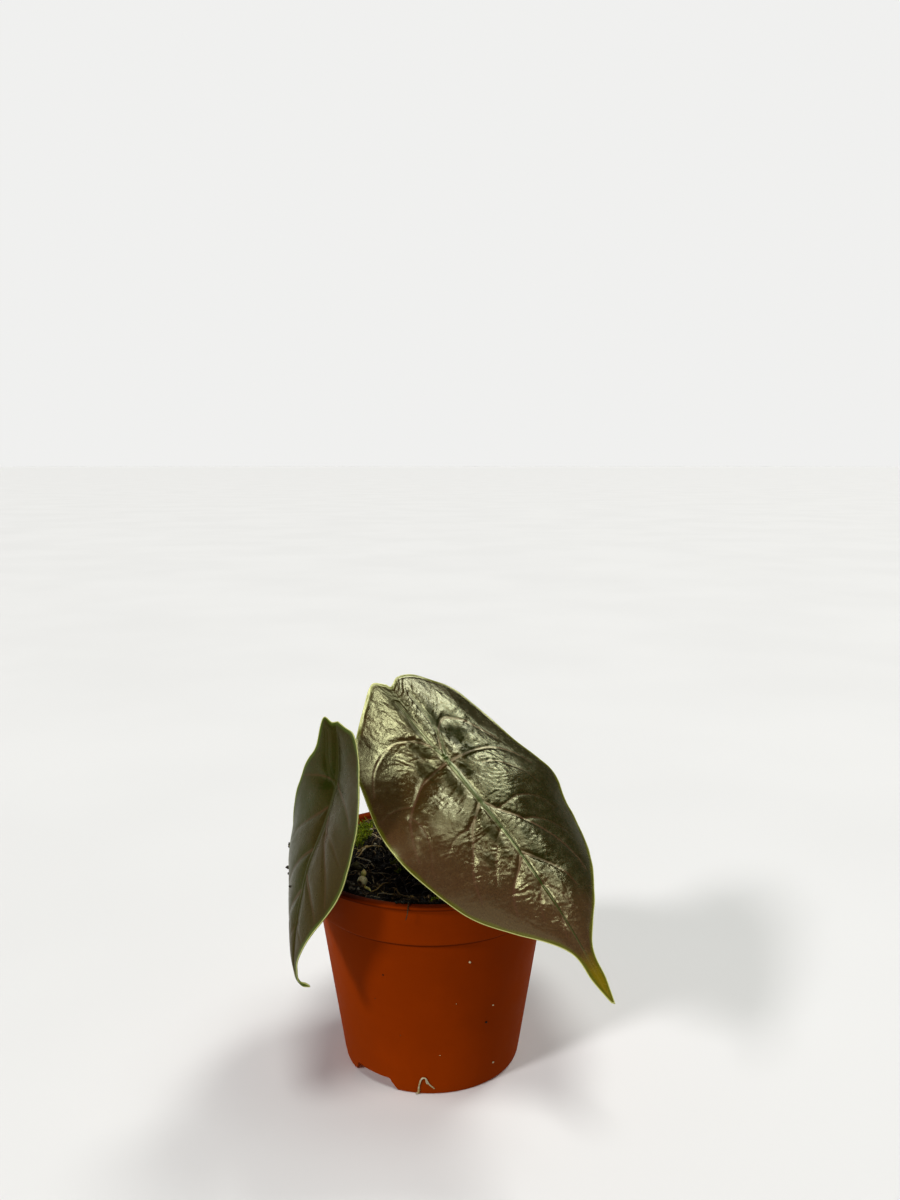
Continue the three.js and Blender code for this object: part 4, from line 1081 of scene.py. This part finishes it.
def surface_roots():
    rng = np.random.RandomState(52)
    shell, uneven = Shell(), Grain(6)
    for radius, tone, bends in ROOTS:
        path = root_path(bends, 30)
        at = np.arange(30) * 0.45
        slender = np.minimum(1, 0.3 + np.sin(np.linspace(0.12, 3, 30)))
        girth = 0.72 * radius * (1 + 0.35 * uneven(at, radius * 40)) * slender
        tube(shell, path, girth, 9, tone=tone)
        for _ in range(3):
            start = path[rng.randint(6, 24)]
            turn = rng.uniform(0, 2 * np.pi)
            reach = rng.uniform(2, 4.5)
            x = start[0] + reach * np.linspace(0, 1, 6) * math.cos(turn) + 0.2 * rng.normal(size=6)
            y = start[1] + reach * np.linspace(0, 1, 6) * math.sin(turn) + 0.2 * rng.normal(size=6)
            inside = np.minimum(1, 40.8 / np.hypot(x, y))
            x, y = x * inside, y * inside
            z = np.linspace(start[2], peat_level(x[-1], y[-1]) + 0.1, 6) + 0.3 * np.sin(np.linspace(0, 3, 6))
            z[0], x[0], y[0] = start[2], start[0], start[1]
            tube(shell, np.column_stack([x, y, z]), 0.13 * np.linspace(1, 0.5, 6), 5, tone=tone + 0.1)
    shell.make("surface_roots", root_finish("root_skin"))


def moss():
    """Tufts of tiny leafy shoots."""
    rng = np.random.RandomState(63)
    shell = Shell()
    patches = [
        (-26.2, 9.5, 1.6, 30), (-25.9, 14, 2.4, 90), (-25.8, 19, 2.8, 140), (-25.6, 24, 2.6, 120),
        (-24.6, 28.5, 2.4, 80),
        (-10.6, -15.6, 1.1, 24), (-12.6, -10.2, 0.9, 14), (2.0, -36.2, 1.4, 26), (-8.4, -14.2, 0.8, 10),
        (20, 26, 3.4, 90), (31, 8, 2.4, 60), (8, -27, 1.8, 30), (-6, 33, 2.6, 60),
    ]
    for x0, y0, spread, count in patches:
        for _ in range(count):
            x, y = x0 + rng.normal() * spread * 0.5, y0 + rng.normal() * spread * 0.7
            foot = np.array([x, y, peat_level(x, y) - 0.1])
            lean = np.array([rng.normal() * 0.35, rng.normal() * 0.35, 1.0])
            tall = rng.uniform(0.8, 2.0)
            tone = rng.uniform(0, 1)
            tube(shell, [foot, foot + lean * tall * 0.5, foot + lean * tall], [0.12, 0.1, 0.04], 4, tone=tone)
            for k in range(7):
                base = foot + lean * tall * (0.3 + 0.1 * k)
                turn = k * 2.4 + tone * 6
                out = np.array([math.cos(turn), math.sin(turn), 0.7])
                size = 0.55 * (1 - 0.07 * k)
                points = [base, base + out * size * 0.5, base + out * size * 0.85 + (0, 0, 0.1 * size)]
                tube(shell, points, [0.05, 0.15, 0.03], 4, tone=tone)
    m = Finish("moss", 0.3, Subsurface_Weight=0.1, Subsurface_Scale=0.0006)
    colour = m.mix(m.mark("tone"), (0.07, 0.11, 0.004), (0.3, 0.36, 0.015))
    colour = m.mix(m.span(m.noise(0.8, 4), 0.35, 0.7), colour, (0.13, 0.16, 0.01))
    shell.make("moss", m.surface(colour, (1.5, 0.5, 0.75), (6.0, 0.05)))


def gravel_and_crumbs():
    rng = np.random.RandomState(74)
    shell = Shell()
    grey = [
        (-26.7, -22.8, 0.75), (-25.4, -23.9, 0.95), (-24.6, -25.8, 0.8), (-23.4, -26.9, 0.7),
        (-26.1, -26.3, 0.9),
        (-22.7, -29.0, 0.75), (-25.0, -28.2, 0.7), (-23.9, -29.4, 0.55), (-21.4, -30.2, 0.55),
        (-27.6, -24.6, 0.6),
        (-15.4, -23.4, 0.45), (-9.1, -24.3, 0.5), (-4.9, -25.0, 0.4), (-3.1, -29.5, 0.45),
        (-12.5, -35.3, 0.55),
        (-18.6, 8.7, 0.7), (-20.2, 10.6, 0.5), (-21.4, 7.2, 0.55), (-19.9, -4.4, 0.4),
    ]
    for k, (x, y, size) in enumerate(grey):
        pebble(shell, (x, y, peat_level(x, y) + 0.35 * size), size, 100 + k, 0.7, tone=rng.uniform(0.45, 0.8))
    for k in range(CRUMB_COUNT):
        x, y = random_place(rng)
        size = rng.uniform(0.3, 1.0) * rng.uniform(0.5, 1)
        tone = rng.choice([0.0, 0.15, 0.5, 0.9], p=[0.5, 0.3, 0.14, 0.06])
        pebble(shell, (x, y, peat_level(x, y) + 0.3 * size), size, 200 + k, 0.8, tone=tone)
    for k in range(SPILLED_COUNT):
        x, y = -3 + 3.6 * rng.normal(), -40.6 - rng.uniform(0, 1.7)
        size = rng.uniform(0.35, 0.75)
        z = max(float(peat_level(x, min(y, -39))), 69.5) if np.hypot(x, y) < 41.5 else POT_HEIGHT + 0.2
        pebble(shell, (x, y, z + 0.2 * size), size, 500 + k, 0.65, tone=0.08)
    m = Finish("crumbs", 0.4)
    tone = m.uneven_tone(1.3, 0.15)
    colour = m.mix(m.span(tone, 0.1, 0.4), (0.006, 0.005, 0.003), (0.06, 0.045, 0.028))
    colour = m.mix(m.span(tone, 0.4, 0.9), colour, (0.42, 0.39, 0.3))
    shell.make("crumbs", m.surface(colour, (2.0, 0.5, 0.85), (3.0, 5, 0.7, 0.2)), slot="peat")

    olive = Shell()
    x, y = -24.9, -11.6
    pebble(olive, (x, y, peat_level(x, y) + 0.7), 1.7, 611, 0.8)
    pebble(olive, (x + 1.1, y - 1.3, peat_level(x, y) + 0.3), 1.1, 612, 0.8)
    m = Finish("old_fruit", 0.4)
    colour = m.mix(m.span(m.noise(0.8, 4, 0.6), 0.35, 0.65), (0.03, 0.026, 0.004), (0.1, 0.09, 0.012))
    olive.make("olive_lump", m.surface(colour, (1.0, 0.45, 0.65), (1.6, 4, 0.25)))


def revolve(shell, origin, axis, profile, sides, slot=0, **marks):
    """Turns a profile of (radius, place along the axis), whose ends lie near the axis."""
    axis = unit(np.asarray(axis, float))
    first = unit(np.cross(axis, (0, 0, 1) if abs(axis[2]) < 0.9 else (1, 0, 0)))
    second = np.cross(axis, first)
    angle = turns(sides)
    ring = np.cos(angle)[:, None] * first + np.sin(angle)[:, None] * second
    profile = np.asarray(profile, float)
    vertices = np.asarray(origin) + profile[:, None, :1] * ring + profile[:, None, 1:] * axis
    shell.add(vertices, barrel(len(profile), sides, flip=True), slot, **marks)


def granule():
    """A pale bead with a hollow, a pointed bud on top and a short yellow-green sprout."""
    x, y = GRANULE_PLACE
    centre = np.array([x, y, peat_height(x, y) + GRANULE_RADIUS + 0.1])
    shell = Shell()
    r, facing = GRANULE_RADIUS, (-0.45, -0.75, -0.12)
    outer = [(r * math.sin(a), -r * math.cos(a)) for a in np.linspace(0.03, 2.62, 22)]
    hollow = [
        (0.40 * r, 0.86 * r), (0.33 * r, 0.74 * r), (0.26 * r, 0.6 * r), (0.14 * r, 0.5 * r),
        (0.01 * r, 0.47 * r),
    ]
    revolve(shell, centre, facing, rounded(outer + hollow, 0.05, 1), 28, mouth=0)
    reach = np.linalg.norm(shell.vertices[0] - centre - unit(np.array(facing)) * 0.8 * r, axis=1)
    shell.marks["mouth"] = [1 - smooth_step(reach, 0.3 * r, 0.75 * r)]
    bud = [
        (0.02, -1.0), (0.55, -0.85), (0.85, -0.4), (0.92, 0.1), (0.8, 0.6), (0.5, 1.05), (0.22, 1.35),
        (0.02, 1.5)
    ]
    revolve(shell, centre + (0.35, 1.0, 2.05), (0.12, 0.1, 1), rounded(bud, 0.1, 2), 20, 1)
    sprout = curve([(0.9, -1.4, -1.3), (1.6, -2.6, -1.2), (2.4, -3.8, -1.0), (3.0, -4.6, -1.3)], 14) + centre
    tube(shell, sprout, np.interp(np.arange(14), [0, 4, 10, 13], [0.35, 0.5, 0.42, 0.2]), 9, 1)
    m = Finish("bead", Subsurface_Weight=0.2, Subsurface_Scale=0.001)
    pale = m.mix(m.span(m.noise(0.8, 4), 0.3, 0.7), (0.5, 0.45, 0.22), (0.68, 0.63, 0.38))
    pale = m.mix(m.span(m.noise(1.4, 4, 0.7), 0.5, 0.72, 0.0, 0.7), pale, (0.2, 0.14, 0.05))
    # Painted shade: the inside of the hollow is darkened
    pale = m.mix(m.mark("mouth"), pale, (0.09, 0.05, 0.02))
    bead = m.surface(pale, (1.2, 0.4, 0.6), (2.0, 4, 0.1))
    m = Finish("bud", Subsurface_Weight=0.2, Subsurface_Scale=0.001)
    green = m.mix(m.span(m.noise(0.9, 4), 0.35, 0.65), (0.42, 0.38, 0.09), (0.6, 0.56, 0.2))
    green = m.mix(m.span(m.noise(2.2, 3), 0.5, 0.7, 0.0, 0.5), green, (0.2, 0.17, 0.03))
    bud_skin = m.surface(green, (1.2, 0.4, 0.6), (2.0, 4, 0.1))
    shell.make("granule_bead", bead, bud_skin, replaces="granule", slot="granule")


peat_body()
litter()
surface_roots()
moss()
gravel_and_crumbs()
granule()


def sheet(shell, grid, thickness, slot=0, **marks):
    """A thin closed skin over a grid of points, given as rows x columns x 3."""
    rows, columns = grid.shape[:2]
    normal = unit(np.cross(np.gradient(grid, axis=0), np.gradient(grid, axis=1)))
    both = np.concatenate(
        [(grid + normal * thickness / 2).reshape(-1, 3), (grid - normal * thickness / 2).reshape(-1, 3)]
    )
    below = rows * columns
    faces = grid_faces(rows, columns).tolist() + grid_faces(rows, columns, below, flip=True).tolist()
    number = np.arange(below).reshape(rows, columns)
    rim = [*number[0, :-1], *number[:-1, -1], *number[-1, :0:-1], *number[:0:-1, 0]]
    for a, b in zip(rim, rim[1:] + rim[:1]):
        faces.append([a, b, b + below, a + below])
    shell.add(both, faces, slot, **marks)


def crown():
    shell = Shell()
    steps = [
        (0.05, 60), (4.2, 60), (CROWN_RADIUS, 62), (CROWN_RADIUS, CROWN_TOP - 5),
        (CROWN_RADIUS - 0.1, CROWN_TOP - 4.1, 0.2),
        (CROWN_RADIUS + 0.1, CROWN_TOP - 3.8, 0.2), (CROWN_RADIUS - 0.3, CROWN_TOP - 2.6, 0.2),
        (CROWN_RADIUS - 0.1, CROWN_TOP - 2.3, 0.2), (CROWN_RADIUS - 0.5, CROWN_TOP - 0.8, 0.4),
        (CROWN_RADIUS - 1.3, CROWN_TOP, 0.5), (0.05, CROWN_TOP + 0.15),
    ]
    revolve(shell, (*CROWN_PLACE, 0), (0, 0, 1), rounded(steps, 0.3), 48)
    body = shell.vertices[0]
    rough = Grain(8)
    around = body[:, :2] - CROWN_PLACE
    swell = 1 + 0.05 * rough(body[:, 0] * 0.6, body[:, 1] * 0.6, body[:, 2] * 0.9)
    body[:, :2] = CROWN_PLACE + around * swell[:, None]
    rng = np.random.RandomState(85)
    for azimuth, tall, wide in ((20, 11, 1.0), (100, 8, 0.8), (165, 13, 1.1), (240, 9, 0.9), (310, 12, 0.8)):
        u, v = np.meshgrid(np.linspace(0, 1, 16), np.linspace(-1, 1, 11), indexing="ij")
        angle = np.radians(azimuth) + v * wide * (1 - u**1.6) * 0.9
        frayed = 0.25 * rough(u * 6 + azimuth, v * 3)
        reach = CROWN_RADIUS + 0.25 - 1.6 * smooth_step(u, 0.2, 0.6) + 2.4 * u**3 + frayed
        spot = np.stack([reach * np.cos(angle), reach * np.sin(angle), 68 + tall * u - 1.2 * v * v * u], -1)
        sheet(shell, spot + (*CROWN_PLACE, 0), 0.25, 1, tone=rng.uniform(0, 1))
    m = Finish("crown_bark", 0.35)
    bark = m.mix(m.span(m.noise(0.5, 5, 0.65), 0.35, 0.65), (0.05, 0.032, 0.015), (0.14, 0.1, 0.05))
    rings = m.noise(1.2, 4, stretch=(1, 1, 4))
    bark = m.mix(m.span(rings, 0.5, 0.7), bark, (0.025, 0.015, 0.008))
    bark_finish = m.surface(bark, (1.0, 0.65, 0.85), (1.4, 6, 0.7, 0.4))
    m = Finish("dry_sheath", 0.35)
    fibres = m.noise(0.7, 5, 0.6, stretch=(2, 2, 0.3))
    papery = m.mix(m.span(fibres, 0.35, 0.65), (0.12, 0.075, 0.035), (0.3, 0.22, 0.12))
    papery = m.mix(m.span(m.noise(0.3, 3), 0.45, 0.7), papery, (0.08, 0.04, 0.02))
    sheath_finish = m.surface(papery, (1.0, 0.55, 0.8), (2.2, 4, 0.6, (2, 2, 0.2), 0.25))
    shell.make("ringed_crown", bark_finish, sheath_finish, replaces="crown", slot="crown_bark")


def stalk_skin():
    m = Finish("stalk_skin", 0.45)
    green = m.mix(m.span(m.noise(0.25, 4, 0.6), 0.3, 0.7), (0.09, 0.12, 0.03), (0.14, 0.15, 0.05))
    streaked = m.noise(1.0, 5, 0.65, stretch=(1.6, 1.6, 0.12))
    green = m.mix(m.span(streaked, 0.42, 0.7, 0.0, 0.75), green, (0.075, 0.035, 0.02))
    green = m.mix(m.span(m.mark("along"), 0.0, 0.3, 0.6, 0.0), green, (0.22, 0.2, 0.11))
    return m.surface(green, (1.0, 0.36, 0.55), (1.5, 4, 0.6, (2.5, 2.5, 0.15), 0.16))


def stalk(name, leaf, foot, path, lead, foot_radius, top_radius, skin, replaces):
    """A stalk from the crown to the underside of its blade, with a sheathing wing at its foot."""
    joint = blade_point(leaf, np.array(STALK_STATION), np.array(0.0))
    out = midrib_frame(leaf, np.array(STALK_STATION))[2]
    points = [
        (*foot, CROWN_TOP - 0.4), (*foot, CROWN_TOP + 4.3), *path, joint - out * (1.12 + lead),
        joint - out * 0.45
    ]
    line = curve(points, 60)
    u = np.linspace(0, 1, 60)
    flare = 0.55 * top_radius * smooth_step(u, 0.955, 1)
    radius = top_radius + (foot_radius - top_radius) * (1 - u) ** 2 + flare
    shell = Shell()
    tube(shell, line, radius, 24)
    for turned in (0, 1):
        rows = 18
        k = np.arange(rows)
        lane = np.linspace(-0.9, 0.9, 7)
        spread = 1.25 * (1 - k / rows) ** 0.6
        angle = math.pi * turned + spread[:, None] * lane + math.pi / 2
        reach = radius[:rows, None] + 0.22 + 0.5 * np.abs(lane) ** 3 * (1 - k[:, None] / rows)
        grid = line[:rows, None] + np.stack(
            [reach * np.cos(angle), reach * np.sin(angle), np.zeros(angle.shape)], -1
        )
        sheet(shell, grid, 0.22, 0, along=0.05)
    shell.make(name, skin, replaces=replaces, slot="stalk")


crown()
skin = stalk_skin()
stalk(
    "large_stalk", LARGE_LEAF, (2.3, 1.5), [(2.7, 1.6, 86), (3.6, -2.2, 96)], 6, 2.5, 1.6, skin,
    "petiole_large"
)
small_path = [(-5.2, 4, 88), (-12.5, 4.5, 95.5), (-20.5, -1.5, 98), (-26, -14.5, 99)]
stalk("small_stalk", SMALL_LEAF, (-2.7, 1.5), small_path, 2, 2.1, 1.1, skin, "petiole_small")


def on_wall(x, z, lift):
    return (x, -math.sqrt((wall_radius(z) + lift) ** 2 - x * x), z)


def bits_on_pot():
    hair = Shell()
    path = curve([on_wall(*p) for p in (
        (-3.9, 0.3, 0.1), (-3.7, 3.0, 0.12), (-3.1, 5.4, 0.2), (-2.3, 6.4, 0.3), (-1.5, 6.1, 0.3),
        (-0.4, 3.9, 0.15),
        (1.2, 2.2, 0.1),
    )], 40)
    knots = Grain(9)
    tube(hair, path, 0.3 * (1 + 0.25 * knots(np.arange(40) * 0.3)) * np.linspace(1.1, 0.7, 40), 8, tone=1.0)
    tube(
        hair, curve([on_wall(-3.4, 1.6, 0.2), on_wall(-4.0, 0.9, 0.3), on_wall(-4.7, 0.2, 0.5)], 8), 0.2, 6,
        tone=0.9
    )
    tube(
        hair, curve([on_wall(-1.6, 6.0, 0.2), on_wall(-1.3, 4.6, 0.3), on_wall(-0.9, 4.1, 0.3)], 8), 0.16, 6,
        tone=0.9
    )
    strand = [
        (-6.5, -38.4, 68.9), (-6.3, -40.8, 70.2), (-6.2, -43.4, 70.7), (-6.3, -45.0, 69.7),
        (-6.5, -44.9, 68.0), (-7.0, -44.2, 66.0)
    ]
    tube(hair, curve(strand, 24), np.linspace(0.26, 0.12, 24), 6, tone=0.2)
    rng = np.random.RandomState(96)
    specks = Shell()
    ends = [
        (-49.0, 2.6, 70.8), (-46.8, -16.4, 71.0), (-45.5, -22.6, 70.9), (-44.6, -26.9, 70.6),
        (-42.5, -31, 70.4)
    ]
    for k, (x, y, z) in enumerate(ends):
        out = np.array([x, y]) / math.hypot(x, y)
        stops = [
            (*(out * 38), 68.6), (*(out * 42.5), 70.4), (*(out * 45.2), 70.75), (*(out * 47), 70.9), (x, y, z)
        ]
        points = np.array(stops) + 0.4 * rng.normal(size=(5, 3)) * [1, 1, 0.2]
        tube(
            hair, curve(points, 20), np.linspace(rng.uniform(0.2, 0.35), 0.12, 20), 6,
            tone=rng.uniform(0.1, 0.6)
        )
        for lump in range(9):
            share = rng.uniform(0, 1)
            place = points[4] * (1 - share) + points[3] * share + 0.32 * rng.normal(size=3)
            pebble(specks, place, rng.uniform(0.3, 0.6), 700 + 9 * k + lump, rng.uniform(0.5, 0.9), tone=0.1)
    hair.make("rootlets", root_finish("rootlet_skin"))

    for x, z, size, tone in (
        (12.4, 48, 0.42, 1), (20, 29.7, 0.3, 0.8), (20.3, 7, 0.4, 1), (17.8, 24.1, 0.42, 0),
        (-14.7, 42.8, 0.25, 0),
        (8.2, 33.5, 0.16, 0.7), (-9.5, 21.5, 0.16, 0.2), (3.1, 14.8, 0.18, 0.8), (-17.5, 33.2, 0.16, 0.1),
    ):
        pebble(specks, on_wall(x, z, 0.05), size, int(100 * size) + 730, 0.8, tone=tone)
    m = Finish("specks", 0.3)
    colour = m.mix(m.span(m.mark("tone"), 0.0, 1.0), (0.008, 0.006, 0.004), (0.62, 0.54, 0.36))
    colour = m.mix(m.span(m.noise(2.0, 4), 0.4, 0.7, 0.0, 0.5), colour, (0.05, 0.03, 0.015))
    specks.make("specks", m.surface(colour, (2.0, 0.5, 0.8), (3.0, 4, 0.1)))


bits_on_pot()


def floor():
    """A pale disc just under the pot, open at its outer edge."""
    level, reach, sides = -0.05, 60000, 96
    points = lathed([(0.1, level), (500, level), (reach, level)], sides) * MM
    mesh = bpy.data.meshes.new("floor")
    mesh.from_pydata(points.reshape(-1, 3).tolist(), [], barrel(3, sides, flip=True)[:-1])
    m, pale = Finish("pale_floor"), (0.78, 0.77, 0.8)
    colour = m.mix(m.span(m.noise(0.004, 2), 0.3, 0.7), pale, tuple(c * 0.97 for c in pale))
    mesh.materials.append(m.finish(colour, m.span(m.noise(0.01), 0.3, 0.7, 0.7, 0.75)))
    ground = bpy.data.objects.new("floor", mesh)
    ground.visible_diffuse = False
    bpy.context.scene.collection.objects.link(ground)


def soft_light(name, azimuth, elevation, spread, radiance, colour):
    """A round light far away, its spread in degrees, that lights the whole floor evenly."""
    out = heading(azimuth) * math.cos(math.radians(elevation))
    out[2] = math.sin(math.radians(elevation))
    light = bpy.data.lights.new(name, "SUN")
    light.angle = math.radians(spread)
    light.energy = radiance * math.pi * (light.angle / 2) ** 2
    light.color = colour
    lamp = bpy.data.objects.new(name, light)
    lamp.rotation_euler = Vector(out.tolist()).to_track_quat("Z", "Y").to_euler()
    bpy.context.scene.collection.objects.link(lamp)
    return lamp


def studio_world():
    """Light from the sides and from below, and a pale, even backdrop where the camera sees it."""
    world = bpy.data.worlds.new("studio")
    world.use_nodes = True
    sky, link = world.node_tree.nodes, world.node_tree.links.new
    height_above = sky.new("ShaderNodeSeparateXYZ")
    link(sky.new("ShaderNodeTexCoord").outputs["Generated"], height_above.inputs[0])
    fade = sky.new("ShaderNodeMapRange")
    fade.interpolation_type = "SMOOTHSTEP"
    for name, value in (("From Min", 0.25), ("From Max", 0.5), ("To Min", 0.6), ("To Max", 0.03)):
        fade.inputs[name].default_value = value
    link(height_above.outputs["Z"], fade.inputs["Value"])
    backdrop, brighter = sky.new("ShaderNodeMath"), sky.new("ShaderNodeMath")
    backdrop.operation, brighter.operation = "MULTIPLY", "MAXIMUM"
    link(sky.new("ShaderNodeLightPath").outputs["Is Camera Ray"], backdrop.inputs[0])
    backdrop.inputs[1].default_value = 0.79
    link(fade.outputs["Result"], brighter.inputs[0])
    link(backdrop.outputs[0], brighter.inputs[1])
    link(brighter.outputs[0], sky["Background"].inputs["Strength"])
    sky["Background"].inputs["Color"].default_value = (0.93, 0.93, 0.92, 1)
    return world


floor()
cool = (0.98, 1.0, 0.92)
soft_light("overhead", 0, 72, 17, 16.5, cool)
soft_light("right", 132, 57, 14.5, 15.0, cool)
soft_light("high_right", 96, 66, 22, 3.4, cool)
soft_light("left", -50, 33, 9.5, 62.0, (1.0, 0.98, 0.95)).visible_glossy = False
scene = bpy.context.scene
scene.world = studio_world()
scene.view_settings.view_transform = "Standard"
scene.view_settings.look = "Medium High Contrast"

# The photograph's camera, with its lens, its frame and the horizon's height in pixels
LENS, FRAME_HEIGHT, HORIZON = 997, 1200, 137
camera_data = bpy.data.cameras.new("camera")
camera_data.sensor_width = 36
camera_data.lens = 36 * LENS / FRAME_HEIGHT
camera_data.clip_start = 0.01
camera = bpy.data.objects.new("camera", camera_data)
camera.location = Vector((AXIS + np.array([6.24, -326.1, 201.2]) * MM).tolist())
camera.rotation_euler = (math.radians(90) - math.atan(HORIZON / LENS), 0, 0)
scene.collection.objects.link(camera)
scene.camera = camera
